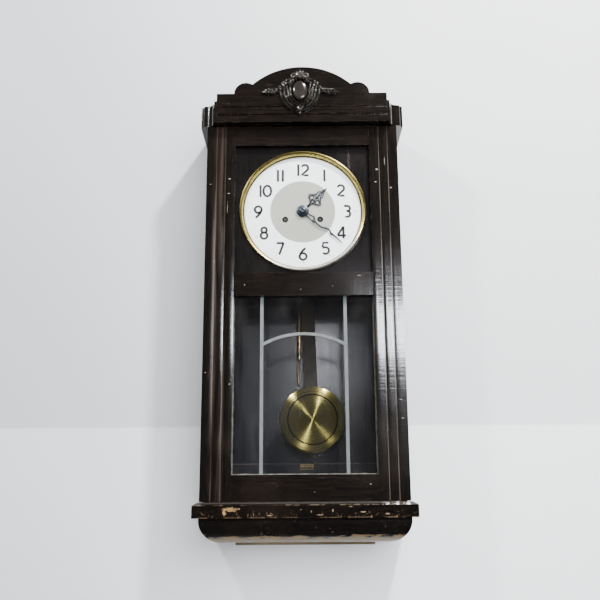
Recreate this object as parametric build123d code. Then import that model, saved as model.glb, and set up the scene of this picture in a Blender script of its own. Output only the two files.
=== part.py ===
"""Pendulum wall clock: a glazed wooden case with an eight-day striking movement.

Frame, in millimetres: +X to the viewer's right, +Y into the wall, +Z up. The origin is
the centre of the hanging keyhole, on the plane of the wall. Two more readable scales are
used throughout: "height", measured up from the underside of the base ledge, and "depth",
measured back from the front face of the door. Points on clock wheels are given as
(right, up) from the centre of the dial.
"""
import os
from math import atan2, cos, degrees, hypot, pi, radians, sin

from build123d import *

# ---- driving dimensions of the case ----
KEYHOLE_HEIGHT = 600.0
CASE_DEPTH = 125.0            # door front to wall
DOOR_HALF_WIDTH = 155.7
DOOR_THICKNESS = 20.0
DOOR_BOTTOM, DOOR_TOP = 22.8, 622.0
STILE_INNER = 109.3
GROOVES = (125.0, 139.5)      # where the stile's reeds meet
REBATE_DEPTH = 9.0            # glass and dial panel lie against this shoulder
REBATE_WIDTH = 6.0
GLASS_BOTTOM, GLASS_TOP = 61.1, 334.3
PANEL_BOTTOM, PANEL_TOP = 371.1, 588.0
PANEL_THICKNESS = 5.5
SIDE_OUTER, SIDE_THICKNESS = 152.4, 10.0
BACK_BOARD = (115.0, CASE_DEPTH)
CREST_HALF_WIDTH, CREST_FRONT, CREST_THICKNESS = 140.0, -15.0, 12.0
CREST_BOTTOM, CREST_SHOULDER, CREST_TOP = 623.0, 674.0, 722.1
HOOD_HALF_WIDTH, HOOD_BOTTOM, HOOD_TOP = 167.5, 624.0, 661.0
LEDGE_HALF_WIDTH, LEDGE_FRONT, LEDGE_TOP = 164.5, -15.0, 22.0
COVE_HALF_WIDTH, COVE_BOTTOM, COVE_RADIUS = 155.7, -36.0, 33.0

# ---- driving dimensions of the dial, hands and pendulum ----
DIAL_HEIGHT = 478.0
BEZEL_RADIUS, BEZEL_INNER, BEZEL_RIM = 102.5, 94.5, 5.0
DIAL_RADIUS, DIAL_FACE, DIAL_SHEET = 97.0, 14.0, 0.8
WINDING = (28.3, -13.5)       # right winding arbor, mirrored for the strike side
PIVOT_UP = 52.5               # pendulum pivot above the dial centre
PENDULUM_TILT = 1.99          # degrees to the right of plumb at rest
BOB_DROP, BOB_RADIUS = 382.4, 53.0
ROD_WIDTH, ROD_DEPTHS = 21.5, (76.5, 82.5)

# ---- driving dimensions of the movement ----
FRONT_PLATE, BACK_PLATE = (24.0, 25.5), (62.0, 63.5)
PLATE_HALF_WIDTH, PLATE_UP = 58.0, (-44.0, 64.0)
RUNNING = 0.05                # radial clearance of every pivot and shaft
GREAT_MODULE, GREAT_TEETH, GREAT_PINION = 0.62, 84, 12
HOUR_ANGLE, MINUTE_ANGLE = 45.0, 131.0   # hands, degrees clockwise from twelve


# ---- places ----
def y_at(depth):
    return depth - CASE_DEPTH


def z_at(height):
    return height - KEYHOLE_HEIGHT


def dial_point(right, up):
    return right, DIAL_HEIGHT + up


# ---- basic solids ----
def board(x, depth, height):
    """A plain box between two x, two depth and two height limits."""
    size = [x[1] - x[0], depth[1] - depth[0], height[1] - height[0]]
    middle = (sum(x) / 2, y_at(sum(depth) / 2), z_at(sum(height) / 2))
    return Pos(*middle) * Box(*size)


def facing(x, depth, height):
    """A plane seen from the front, at a depth; its normal points at the viewer."""
    return Plane(origin=(x, y_at(depth), z_at(height)), x_dir=(1, 0, 0), z_dir=(0, -1, 0))


def cut_out(points, depth, x=0.0, height=0.0):
    """A flat outline seen from the front, given thickness between two depths."""
    face = make_face(Polyline(*points, close=True))
    return extrude(facing(x, depth[1], height) * face, amount=depth[1] - depth[0])


def disc(centre, radius, depth):
    plane = facing(centre[0], depth[1], centre[1])
    return extrude(plane * Circle(radius), amount=depth[1] - depth[0])


def ring(centre, radius, bore, depth):
    plane = facing(centre[0], depth[1], centre[1])
    return extrude(plane * (Circle(radius) - Circle(bore)), amount=depth[1] - depth[0])


def turned(centre, profile):
    """A solid turned about a front-to-back axis from (radius, depth) points."""
    plane = Plane(origin=(centre[0], y_at(0), z_at(centre[1])), x_dir=(1, 0, 0), z_dir=(0, 0, 1))
    face = plane * make_face(Polyline(*profile, close=True))
    return revolve(face, Axis((centre[0], 0, z_at(centre[1])), (0, 1, 0)), 360)


def upright(outline_face, height):
    """A plan outline (x, depth), given height."""
    plane = Plane(origin=(0, y_at(0), z_at(height[0])), x_dir=(1, 0, 0), z_dir=(0, 0, 1))
    return extrude(plane * outline_face, amount=height[1] - height[0])


def bar(start, end, width, depth):
    """A flat bar with round ends between two (x, height) points."""
    length = hypot(end[0] - start[0], end[1] - start[1])
    tilt = degrees(atan2(end[1] - start[1], end[0] - start[0]))
    face = Rot(0, 0, tilt) * Pos(length / 2, 0) * SlotOverall(length + width, width)
    return extrude(facing(start[0], depth[1], start[1]) * face, amount=depth[1] - depth[0])


def across(solid):
    """The same solid on the other side of the clock."""
    return mirror(solid, about=Plane.YZ)


def group(*solids):
    return Compound(children=list(solids))


# ---- case ----
def make_case_sides():
    right = board((SIDE_OUTER - SIDE_THICKNESS, SIDE_OUTER), (DOOR_THICKNESS + 0.5, CASE_DEPTH),
                  (LEDGE_TOP, HOOD_TOP - 9))
    return group(right, across(right))


def make_case_back():
    inner = SIDE_OUTER - SIDE_THICKNESS
    back = board((-inner, inner), BACK_BOARD, (LEDGE_TOP, HOOD_TOP - 9))
    pocket = disc((0, KEYHOLE_HEIGHT), 11, (CASE_DEPTH - 8, CASE_DEPTH))
    seat = board((-16, 16), (CASE_DEPTH - 1.5, CASE_DEPTH), (KEYHOLE_HEIGHT - 24, KEYHOLE_HEIGHT + 24))
    return back - pocket - seat


def make_hanger_plate():
    plate = board((-16, 16), (CASE_DEPTH - 1.5, CASE_DEPTH), (KEYHOLE_HEIGHT - 24, KEYHOLE_HEIGHT + 24))
    keyhole = disc((0, KEYHOLE_HEIGHT), 5, (CASE_DEPTH - 2, CASE_DEPTH + 1))
    slot = bar((0, KEYHOLE_HEIGHT), (0, KEYHOLE_HEIGHT + 11), 4.6, (CASE_DEPTH - 2, CASE_DEPTH + 1))
    return plate - keyhole - slot


def make_base_ledge():
    """Board under the door: a square front edge with a bevel running up to the door."""
    edge, bevel_height, bevel = 17.9, 4.1, 7.0
    face = make_face(Polyline((LEDGE_FRONT, 0), (CASE_DEPTH, 0), (CASE_DEPTH, LEDGE_TOP),
                              (LEDGE_FRONT + bevel, LEDGE_TOP), (LEDGE_FRONT, edge), close=True))
    side_on = Plane(origin=(-LEDGE_HALF_WIDTH, y_at(0), z_at(0)), x_dir=(0, 1, 0), z_dir=(1, 0, 0))
    ledge = extrude(side_on * face, amount=2 * LEDGE_HALF_WIDTH)
    wedge = cut_out([(LEDGE_HALF_WIDTH - bevel, edge + bevel_height), (LEDGE_HALF_WIDTH + 1, edge - 0.6),
                     (LEDGE_HALF_WIDTH + 1, LEDGE_TOP + 1), (LEDGE_HALF_WIDTH - bevel, LEDGE_TOP + 1)],
                    (LEDGE_FRONT - 1, CASE_DEPTH + 1))
    return ledge - wedge - across(wedge)


def make_base_cove():
    """Hollow pan under the ledge, rounded under at the front and at both ends."""
    front = -5.0
    block = board((-COVE_HALF_WIDTH, COVE_HALF_WIDTH), (front, CASE_DEPTH), (COVE_BOTTOM, 0))
    low = block.edges().filter_by(lambda edge: edge.center().Z < z_at(COVE_BOTTOM) + 0.1)
    rounded = fillet([edge for edge in low if edge.center().Y < y_at(CASE_DEPTH) - 1], COVE_RADIUS)
    wall = 40.0
    hollow = board((-COVE_HALF_WIDTH + wall, COVE_HALF_WIDTH - wall), (front + wall, CASE_DEPTH - 12),
                   (COVE_BOTTOM + 10, 1))
    return rounded - hollow


def make_base_under_board():
    return board((-104.7, 104.7), (40.0, CASE_DEPTH), (COVE_BOTTOM - 4.5, COVE_BOTTOM))


def hood_plan():
    """Plan of the right-hand hood moulding: fillet, ovolo, fillet and cyma round the corner."""
    first, ovolo, step = 144.0, 15.0, 3.0
    front = CREST_FRONT + 1
    corner = HOOD_HALF_WIDTH - first - ovolo - step
    start = front + step
    lines = [
        Line((SIDE_OUTER, CASE_DEPTH), (SIDE_OUTER, 17)),
        Line((SIDE_OUTER, 17), (CREST_HALF_WIDTH, 17)),
        Line((CREST_HALF_WIDTH, 17), (CREST_HALF_WIDTH, front)),
        Line((CREST_HALF_WIDTH, front), (first, front)),
        Line((first, front), (first, start)),
        RadiusArc((first, start), (first + ovolo, start + ovolo), ovolo),
        Line((first + ovolo, start + ovolo), (first + ovolo + step, start + ovolo)),
        RadiusArc((first + ovolo + step, start + ovolo),
                  (HOOD_HALF_WIDTH, start + ovolo + corner), corner),
        Line((HOOD_HALF_WIDTH, start + ovolo + corner), (HOOD_HALF_WIDTH, CASE_DEPTH)),
        Line((HOOD_HALF_WIDTH, CASE_DEPTH), (SIDE_OUTER, CASE_DEPTH)),
    ]
    return make_face(lines)


def make_hood_mouldings():
    right = upright(hood_plan(), (HOOD_BOTTOM, HOOD_TOP))
    rail = board((-CREST_HALF_WIDTH, CREST_HALF_WIDTH), (CREST_FRONT + CREST_THICKNESS, 17),
                 (HOOD_BOTTOM, HOOD_TOP))
    return group(right, across(right), rail)


def make_hood_top_board():
    return board((-SIDE_OUTER, SIDE_OUTER), (17, CASE_DEPTH), (HOOD_TOP - 9, HOOD_TOP))


def make_crest_board():
    """Shaped board over the door: square shoulders, a lobe each side and one broad arch."""
    lobe_x, lobe_height, lobe_radius = 92.2, 674.5, 19.2
    valley_x, valley_height = 81.2, 690.5
    lobe_foot = lobe_x + lobe_radius
    lobe_side = lobe_radius * cos(radians(55))
    lobe_crown = lobe_height + lobe_radius * sin(radians(55))
    outline = [
        Line((-CREST_HALF_WIDTH, CREST_BOTTOM), (CREST_HALF_WIDTH, CREST_BOTTOM)),
        Line((CREST_HALF_WIDTH, CREST_BOTTOM), (CREST_HALF_WIDTH, CREST_SHOULDER)),
        Line((CREST_HALF_WIDTH, CREST_SHOULDER), (lobe_foot, CREST_SHOULDER)),
        ThreePointArc((lobe_foot, CREST_SHOULDER), (lobe_x + lobe_side, lobe_crown),
                      (valley_x, valley_height)),
        ThreePointArc((valley_x, valley_height), (0, CREST_TOP), (-valley_x, valley_height)),
        ThreePointArc((-valley_x, valley_height), (-lobe_x - lobe_side, lobe_crown),
                      (-lobe_foot, CREST_SHOULDER)),
        Line((-lobe_foot, CREST_SHOULDER), (-CREST_HALF_WIDTH, CREST_SHOULDER)),
        Line((-CREST_HALF_WIDTH, CREST_SHOULDER), (-CREST_HALF_WIDTH, CREST_BOTTOM)),
    ]
    plane = facing(0, CREST_FRONT + CREST_THICKNESS, 0)
    crest = extrude(plane * make_face(outline), amount=CREST_THICKNESS)
    for height in (635.9, 649.7):
        groove = Pos(0, y_at(CREST_FRONT), z_at(height)) * Rot(0, 90, 0) * Cylinder(1.6, 300)
        crest -= groove
    return crest


def make_crest_ornament():
    """Carved cartouche: an oval boss in a wreath, with a spray of leaves on each side."""
    centre, back = (-3.0, 674.0), CREST_FRONT
    wreath = extrude(facing(centre[0], back, centre[1]) * Ellipse(32, 37), amount=5)
    boss = extrude(facing(centre[0], back - 5, centre[1] + 4) * Ellipse(11.5, 18), amount=4)
    crown = extrude(facing(centre[0], back, centre[1] + 33) * Ellipse(12, 8.5), amount=6)
    drop = bar((centre[0], centre[1] - 30), (centre[0], centre[1] - 38), 8, (back - 4, back))
    arms = bar((centre[0] - 60, centre[1]), (centre[0] + 60, centre[1]), 9, (back - 4, back))
    return wreath + boss + crown + drop + arms


def make_label_plate():
    return board((-7.0, 15.0), (BACK_BOARD[0] - 1, BACK_BOARD[0]), (71.0, 80.0))


# ---- door ----
def stile_plan():
    """Plan of the right stile: three crowned reeds in front and a rebate behind."""
    crown = 0.7
    stops = [STILE_INNER, *GROOVES, DOOR_HALF_WIDTH]
    lines = [Line((STILE_INNER, REBATE_DEPTH), (STILE_INNER, crown))]
    for left, right in zip(stops, stops[1:]):
        lines.append(ThreePointArc((left, crown), ((left + right) / 2, 0), (right, crown)))
    outline = [(DOOR_HALF_WIDTH, crown), (DOOR_HALF_WIDTH, DOOR_THICKNESS),
               (STILE_INNER + REBATE_WIDTH, DOOR_THICKNESS), (STILE_INNER + REBATE_WIDTH, REBATE_DEPTH),
               (STILE_INNER, REBATE_DEPTH)]
    lines += [Line(a, b) for a, b in zip(outline, outline[1:])]
    return make_face(lines)


def make_door_stiles():
    right = upright(stile_plan(), (DOOR_BOTTOM, DOOR_TOP))
    return group(right, across(right))


def door_rail(low, high, rebate_low, rebate_high):
    """A rail between the stiles, cut back behind the shoulder above and below."""
    front = board((-STILE_INNER, STILE_INNER), (0, REBATE_DEPTH), (low, high))
    half = STILE_INNER + REBATE_WIDTH
    rear = board((-half, half), (REBATE_DEPTH, DOOR_THICKNESS),
                 (low + rebate_low, high - rebate_high))
    return front + rear


def make_door_rails():
    return group(door_rail(DOOR_BOTTOM, GLASS_BOTTOM, 0, REBATE_WIDTH),
                 door_rail(GLASS_TOP, PANEL_BOTTOM, REBATE_WIDTH, REBATE_WIDTH),
                 door_rail(PANEL_TOP, DOOR_TOP, REBATE_WIDTH, 0))


def make_dial_surround():
    half = STILE_INNER + REBATE_WIDTH - 0.2
    depth = (REBATE_DEPTH, REBATE_DEPTH + PANEL_THICKNESS)
    panel = board((-half, half), depth, (PANEL_BOTTOM - 5.8, PANEL_TOP + 5.8))
    return panel - disc((0, DIAL_HEIGHT), 99.5, (0, 30))


def make_bezel():
    """Funnel-shaped brass ring that overlaps the panel and carries the dial glass."""
    lip = BEZEL_INNER + 1.0
    profile = [(BEZEL_RADIUS, REBATE_DEPTH), (BEZEL_RADIUS, 6.4), (BEZEL_RADIUS - 0.9, 5.2),
               (100.2, BEZEL_RIM), (98.6, 6.0), (97.2, 8.2), (96.2, 10.9), (lip, 10.9), (lip, 12.5),
               (BEZEL_INNER, 12.5), (BEZEL_INNER, 13.2), (98.4, 13.2), (99.2, REBATE_DEPTH)]
    return turned((0, DIAL_HEIGHT), profile)


def make_bezel_glass():
    """Slightly domed dial glass, seated on the bezel's inner lip."""
    edge, seat, rise, thickness, steps = 95.45, 12.4, 7.5, 1.4, 16
    rear = []
    for step in range(steps + 1):
        share = step / steps
        rear.append((edge * share, seat - rise * (1 - share * share)))
    front = [(radius, depth - thickness) for radius, depth in rear]
    return turned((0, DIAL_HEIGHT), rear + front[::-1])


# ---- leaded glass ----
CAME_X, CAME_WIDTH, ARCH_WIDTH, HEART = 65.2, 5.1, 4.5, 1.6
PANE = (9.4, 11.6)            # depths of the panes' two faces
ARCH_END, ARCH_PEAK = 259.1, 275.0
LIGHT_HALF, LIGHT_LOW, LIGHT_HIGH = 115.0, 55.4, 340.0


def arch_radius():
    half, rise = CAME_X - CAME_WIDTH / 2, ARCH_PEAK - ARCH_END
    return (half * half + rise * rise) / (2 * rise)


def arch_band(width, depth):
    """The strip of the arch between the two upright cames."""
    radius = arch_radius()
    centre = ARCH_PEAK - radius
    full = ring((0, centre), radius + width / 2, radius - width / 2, depth)
    half = CAME_X - CAME_WIDTH / 2
    return full & board((-half, half), (0, DOOR_THICKNESS), (ARCH_END - 12, ARCH_PEAK + 12))


def make_cames():
    flanges = ((PANE[0] - 0.4, PANE[0]), (PANE[1], PANE[1] + 0.8))
    heart = (PANE[0], PANE[1])
    upright_came = board((CAME_X - HEART / 2, CAME_X + HEART / 2), heart, (LIGHT_LOW, LIGHT_HIGH))
    arch = arch_band(HEART, heart)
    for index, depth in enumerate(flanges):
        low, high = (GLASS_BOTTOM, GLASS_TOP) if index == 0 else (LIGHT_LOW, LIGHT_HIGH)
        upright_came += board((CAME_X - CAME_WIDTH / 2, CAME_X + CAME_WIDTH / 2), depth, (low, high))
        arch += arch_band(ARCH_WIDTH, depth)
    return group(upright_came, across(upright_came), arch)


def make_glass_panes():
    """Two side lights and a centre light split by the arch."""
    gap = HEART / 2 + 0.1
    side = board((CAME_X + gap, LIGHT_HALF), PANE, (LIGHT_LOW, LIGHT_HIGH))
    centre = board((-CAME_X + gap, CAME_X - gap), PANE, (LIGHT_LOW, LIGHT_HIGH))
    radius = arch_radius()
    lead = ring((0, ARCH_PEAK - radius), radius + gap, radius - gap, (0, DOOR_THICKNESS))
    pieces = (centre - lead).solids().sort_by(Axis.Z)
    return group(side, across(side), pieces[0], pieces[-1])


def make_glass_beads():
    """Thin beads that hold the leaded light and the dial panel from behind."""
    beads = []
    outer = STILE_INNER + REBATE_WIDTH
    for low, high, front in ((GLASS_BOTTOM, GLASS_TOP, PANE[1] + 0.9),
                             (PANEL_BOTTOM, PANEL_TOP, REBATE_DEPTH + PANEL_THICKNESS)):
        low, high, depth = low - REBATE_WIDTH, high + REBATE_WIDTH, (front, DOOR_THICKNESS)
        upright_bead = board((outer - 5, outer), depth, (low, high))
        beads += [upright_bead, across(upright_bead)]
        for height in (low, high - 5):
            beads.append(board((-outer + 5, outer - 5), depth, (height, height + 5)))
    return group(*beads)


# ---- hinges and catch ----
HINGE_X, HINGE_DEPTH = 154.6, 20.25
HINGE_HEIGHTS = (120.0, 525.0)
KNUCKLE, PIN = 2.0, 1.0


def knuckle(height, bore):
    tube = Cylinder(KNUCKLE, height[1] - height[0])
    if bore:
        tube -= Cylinder(PIN + RUNNING, height[1] - height[0])
    return Pos(HINGE_X, y_at(HINGE_DEPTH), z_at(sum(height) / 2)) * tube


def make_case_hinges():
    """Fixed leaf on the case side's front edge, with the top and bottom knuckles."""
    leaves = []
    for height in HINGE_HEIGHTS:
        leaf = board((SIDE_OUTER - 9, SIDE_OUTER), (DOOR_THICKNESS + 0.5, DOOR_THICKNESS + 1.3),
                     (height - 20, height + 20))
        leaf -= board((SIDE_OUTER - 2, SIDE_OUTER + 1), (DOOR_THICKNESS, DOOR_THICKNESS + 2),
                      (height - 7, height + 7))
        for low, high in ((-20, -7), (7, 20)):
            leaf += knuckle((height + low, height + high), True)
        leaves.append(leaf)
    return group(*leaves)


def make_door_fittings():
    """Moving hinge leaves with their pins, and the catch's ball stud."""
    pieces = []
    for height in HINGE_HEIGHTS:
        leaf = board((SIDE_OUTER - 9, HINGE_X), (DOOR_THICKNESS - 0.8, DOOR_THICKNESS),
                     (height - 20, height + 20))
        for low, high in ((-20.2, -6.8), (6.8, 20.2)):
            leaf -= Pos(HINGE_X, y_at(HINGE_DEPTH), z_at(height + (low + high) / 2)) * Cylinder(
                KNUCKLE + 0.3, high - low)
        leaf += knuckle((height - 6.8, height + 6.8), False)
        leaf += Pos(HINGE_X, y_at(HINGE_DEPTH), z_at(height)) * Cylinder(PIN, 43)
        pieces.append(leaf)
    stud = turned((-130.0, 330.0), [(0, 20), (6, 20), (6, 21.2), (1.6, 21.2), (1.6, 27), (2.6, 28.2),
                                    (2.6, 30.2), (1.2, 31.6), (0, 31.6)])
    return group(*pieces, stud)


def make_catch_clip():
    """Two sprung brass jaws on the left case side that grip the ball stud."""
    inner = SIDE_OUTER - SIDE_THICKNESS
    clip = board((-inner, -124.0), (36, 37), (322, 338))
    for low in (322.0, 333.2):
        clip += board((-134, -124.0), (24, 36), (low, low + 4.8))
    foot = board((-inner, -inner + 1), (37, 50), (322, 338))
    return clip + foot


def cut_for_hinges(solids):
    """Take the hinge knuckles' space and the leaves' seats out of a wooden part."""
    kept = []
    for solid in solids:
        for height in HINGE_HEIGHTS:
            solid = solid - Pos(HINGE_X, y_at(HINGE_DEPTH), z_at(height)) * Cylinder(KNUCKLE + 0.4, 44)
            solid = solid - board((SIDE_OUTER - 9, SIDE_OUTER + 4), (DOOR_THICKNESS - 0.8, 21.3),
                                  (height - 20, height + 20))
        kept.append(solid)
    return group(*[piece for solid in kept for piece in solid.solids()])


# ---- gear cutting ----
def tooth_ring(teeth, module, phase, leaf=False):
    """Outline of a clock wheel, or of a pinion when leaf is true; phase in radians."""
    pitch = teeth * module / 2
    if leaf:
        rungs = ((pitch - 1.35 * module, 0.36), (pitch, 0.52), (pitch + 0.55 * module, 0.26))
    else:
        rungs = ((pitch - 1.25 * module, 0.80), (pitch + 0.9 * module, 0.32))
    points = []
    for tooth in range(teeth):
        middle = phase + 2 * pi * tooth / teeth
        sides = [(radius, -half * module / radius) for radius, half in rungs]
        sides += [(radius, -turn) for radius, turn in reversed(sides)]
        points += [(radius * cos(middle + turn), radius * sin(middle + turn)) for radius, turn in sides]
    return points


def wheel(centre, teeth, module, phase, depth, crossings=0):
    """A toothed wheel, lightened by a ring of round holes."""
    solid = cut_out(tooth_ring(teeth, module, phase), depth, centre[0], centre[1])
    pitch = teeth * module / 2
    for index in range(crossings):
        turn = 2 * pi * index / crossings
        place = (centre[0] + 0.58 * pitch * cos(turn), centre[1] + 0.58 * pitch * sin(turn))
        solid -= disc(place, 0.24 * pitch, (depth[0] - 1, depth[1] + 1))
    return solid


def pinion(centre, teeth, module, phase, depth):
    return cut_out(tooth_ring(teeth, module, phase, leaf=True), depth, centre[0], centre[1])


def bearing(a, b):
    return atan2(b[1] - a[1], b[0] - a[0])


def meshed(driver, driver_teeth, driver_phase, driven, driven_teeth):
    """Phase that sets a gap of the driven wheel opposite the driver's nearest tooth."""
    towards = bearing(driver, driven)
    pitch = 2 * pi / driver_teeth
    ahead = ((driver_phase - towards) % pitch) / pitch
    return towards + pi - ahead * 2 * pi / driven_teeth + pi / driven_teeth


def meeting_point(a, reach_a, b, reach_b, side):
    """Where circles about two arbors cross; side picks which of the two crossings."""
    span = hypot(b[0] - a[0], b[1] - a[1])
    along = (reach_a ** 2 - reach_b ** 2 + span ** 2) / (2 * span)
    off = side * (reach_a ** 2 - along ** 2) ** 0.5
    ux, uy = (b[0] - a[0]) / span, (b[1] - a[1]) / span
    return a[0] + along * ux - off * uy, a[1] + along * uy + off * ux


def polar(centre, reach, angle):
    return centre[0] + reach * cos(radians(angle)), centre[1] + reach * sin(radians(angle))


# ---- where the arbors stand ----
CENTRE = dial_point(0, 0)
GOING_BARREL = dial_point(*WINDING)
STRIKE_BARREL = dial_point(-WINDING[0], WINDING[1])
GREAT_REACH = GREAT_MODULE * (GREAT_TEETH + GREAT_PINION) / 2
INTERMEDIATE_TEETH, CENTRE_PINION, INTERMEDIATE_MODULE = 72, 12, 0.5
INTERMEDIATE_REACH = INTERMEDIATE_MODULE * (INTERMEDIATE_TEETH + CENTRE_PINION) / 2
INTERMEDIATE = meeting_point(GOING_BARREL, GREAT_REACH, CENTRE, INTERMEDIATE_REACH, -1)
CENTRE_TEETH, THIRD_PINION, CENTRE_MODULE = 80, 8, 0.45
CENTRE_REACH = CENTRE_MODULE * (CENTRE_TEETH + THIRD_PINION) / 2
THIRD = polar(CENTRE, CENTRE_REACH, 98)
THIRD_TEETH, ESCAPE_PINION, THIRD_MODULE = 78, 8, 0.42
THIRD_REACH = THIRD_MODULE * (THIRD_TEETH + ESCAPE_PINION) / 2
ESCAPE = (0.0, THIRD[1] + (THIRD_REACH ** 2 - THIRD[0] ** 2) ** 0.5)
ESCAPE_TEETH, ESCAPE_RADIUS = 30, 10.5
PIVOT = dial_point(0, PIVOT_UP)
MOTION_REACH = 15.0
MINUTE_WHEEL = polar(CENTRE, MOTION_REACH, -90)
STAR = polar(STRIKE_BARREL, GREAT_REACH, 90)
STAR_TEETH, GATHER_PINION, STAR_MODULE = 80, 8, 0.45
GATHER = polar(STAR, STAR_MODULE * (STAR_TEETH + GATHER_PINION) / 2, 60)
GATHER_TEETH, WARNING_PINION, GATHER_MODULE = 64, 8, 0.42
WARNING = polar(GATHER, GATHER_MODULE * (GATHER_TEETH + WARNING_PINION) / 2, 150)
WARNING_TEETH, FLY_PINION, WARNING_MODULE = 60, 8, 0.4
FLY = polar(WARNING, WARNING_MODULE * (WARNING_TEETH + FLY_PINION) / 2, 60)
HAMMER = dial_point(-44.0, 30.0)
RACK = dial_point(-46.0, 0.0)
SHAFT, SLIM = 1.2, 0.7        # arbor radius, and its pivot's
BARREL_SHAFT = 2.5
ARBORS = [(INTERMEDIATE, SLIM), (THIRD, SLIM), (ESCAPE, SLIM), (STAR, SLIM), (GATHER, SLIM),
          (WARNING, SLIM), (FLY, SLIM), (PIVOT, SLIM), (CENTRE, 1.5),
          (GOING_BARREL, BARREL_SHAFT), (STRIKE_BARREL, BARREL_SHAFT)]
HAMMER_SHAFT = 1.5


# ---- movement frame ----
def movement_plate(depth):
    """A brass plate with a bearing hole for every arbor and cut-away lower corners."""
    low, high = PLATE_UP
    half = PLATE_HALF_WIDTH
    outline = [(-half, low + 8), (-half + 8, low), (half - 8, low), (half, low + 8), (half, high - 8),
               (half - 8, high), (-half + 8, high), (-half, high - 8)]
    plate = cut_out(outline, depth, 0, DIAL_HEIGHT)
    wide = (depth[0] - 1, depth[1] + 1)
    for centre, radius in ARBORS:
        plate -= disc(centre, radius + RUNNING, wide)
    return plate - disc(HAMMER, HAMMER_SHAFT + RUNNING, wide)


def make_front_plate():
    """Front plate with the studs of the motion work, the clicks and the levers."""
    plate = movement_plate(FRONT_PLATE)
    plate += disc(MINUTE_WHEEL, 1.25, (16.6, FRONT_PLATE[0]))
    plate += disc(RACK, 1.25, (18.6, FRONT_PLATE[0]))
    for barrel in (GOING_BARREL, STRIKE_BARREL):
        plate += disc(click_stud(barrel), 1.25, (20.6, FRONT_PLATE[0]))
    return plate


def make_back_plate():
    return movement_plate(BACK_PLATE)


PILLARS = [(-52.0, -38.0), (52.0, -38.0), (-52.0, 58.0), (52.0, 58.0)]


def make_pillars():
    """Four turned pillars, each with a nut at both ends."""
    pieces = []
    for right, up in PILLARS:
        centre = dial_point(right, up)
        pieces.append(turned(centre, [(0, 25.5), (4, 25.5), (4, 28), (3, 29), (3, 58.5), (4, 59.5),
                                      (4, 62), (0, 62)]))
        for depth in ((21.2, 24.0), (63.5, 66.3)):
            nut = facing(centre[0], depth[1], centre[1]) * RegularPolygon(4.2, 6)
            pieces.append(extrude(nut, amount=depth[1] - depth[0]))
    return group(*pieces)


def make_movement_brackets():
    """Two steel brackets that carry the movement off the back board."""
    inner, outer, thick = 44.0, 58.0, 2.0
    heights = (DIAL_HEIGHT - 30, DIAL_HEIGHT + 48)
    right = board((outer - thick, outer), (63.5, BACK_BOARD[0]), heights)
    right += board((outer - 9, outer), (63.5, 63.5 + thick), heights)
    right += board((inner, outer), (BACK_BOARD[0] - thick, BACK_BOARD[0]), heights)
    return group(right, across(right))


def screw(centre, depth_head, radius):
    """A cheese-head screw seen from the front, head in front of the given depth."""
    head = disc(centre, radius, (depth_head - 1.6, depth_head))
    slot = board((centre[0] - radius, centre[0] + radius), (depth_head - 2, depth_head - 0.9),
                 (centre[1] - 0.4, centre[1] + 0.4))
    return head - slot


def make_case_screws():
    """Four cheese-head screws that hold the movement brackets to the back board."""
    screws = []
    for side in (-1, 1):
        for up in (-20, 38):
            screws.append(screw((side * 45.0, DIAL_HEIGHT + up), BACK_BOARD[0] - 2, 3.5))
    return group(*screws)


def make_suspension_cock():
    """Bracket on the back plate that holds the pendulum's suspension spring."""
    x, height = PIVOT
    foot = board((-12, 12), (63.5, 65.5), (height + 4, height + 16))
    arm = board((-5, 5), (65.5, 84), (height + 5.2, height + 14))
    post = board((-5, 5), (76, 83), (height + 3, height + 5.2))
    slit = board((-6, 6), (79.1, 79.9), (height + 2, height + 9))
    return foot + arm + post - slit


# ---- dial ----
def make_dial_plate():
    face = turned(CENTRE, [(3.7, DIAL_FACE), (DIAL_RADIUS, DIAL_FACE), (DIAL_RADIUS, 19.0),
                           (DIAL_RADIUS - DIAL_SHEET, 19.0), (DIAL_RADIUS - DIAL_SHEET, 14.8), (3.7, 14.8)])
    for centre in (GOING_BARREL, STRIKE_BARREL):
        face -= disc(centre, 4.0, (13, 16))
    return face


def make_dial_fittings():
    """Eyelets round the two winding holes and the dial's four feet."""
    pieces = []
    for centre in (GOING_BARREL, STRIKE_BARREL):
        pieces.append(ring(centre, 4.9, 3.4, (13.6, 14.0)) + ring(centre, 4.0, 3.4, (14.0, 15.2)))
    for right, up in ((-40, -40), (40, -40), (-38, 60), (38, 60)):
        pieces.append(disc(dial_point(right, up), 2, (14.8, FRONT_PLATE[0])))
    return group(*pieces)


def hand_outline(length, stem, widest, widest_at):
    """A plain leaf-shaped hand pointing up."""
    return [(-stem, 3), (-stem, widest_at - widest), (-widest, widest_at), (-stem, widest_at + widest),
            (0, length), (stem, widest_at + widest), (widest, widest_at), (stem, widest_at - widest),
            (stem, 3)]


def pointed(points, clockwise):
    turn = radians(-clockwise)
    return [(x * cos(turn) - y * sin(turn), x * sin(turn) + y * cos(turn)) for x, y in points]


def make_hour_hand():
    blade = cut_out(pointed(hand_outline(56, 1.2, 8.5, 33), HOUR_ANGLE), (12.4, 12.9), 0, DIAL_HEIGHT)
    hub = ring(CENTRE, 8.2, 3.2, (12.4, 13.3))
    return (blade - disc(CENTRE, 3.2, (12, 14))) + hub


def make_minute_hand():
    blade = cut_out(pointed(hand_outline(83.5, 1.0, 2.6, 40), MINUTE_ANGLE), (11.2, 11.7), 0, DIAL_HEIGHT)
    hub = turned(CENTRE, [(1.6, 7.4), (4.4, 7.4), (5.6, 8.4), (5.6, 10.2), (10, 10.4), (10, 11.7),
                          (1.6, 11.7)])
    return (blade - disc(CENTRE, 8, (11, 12))) + hub


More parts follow.
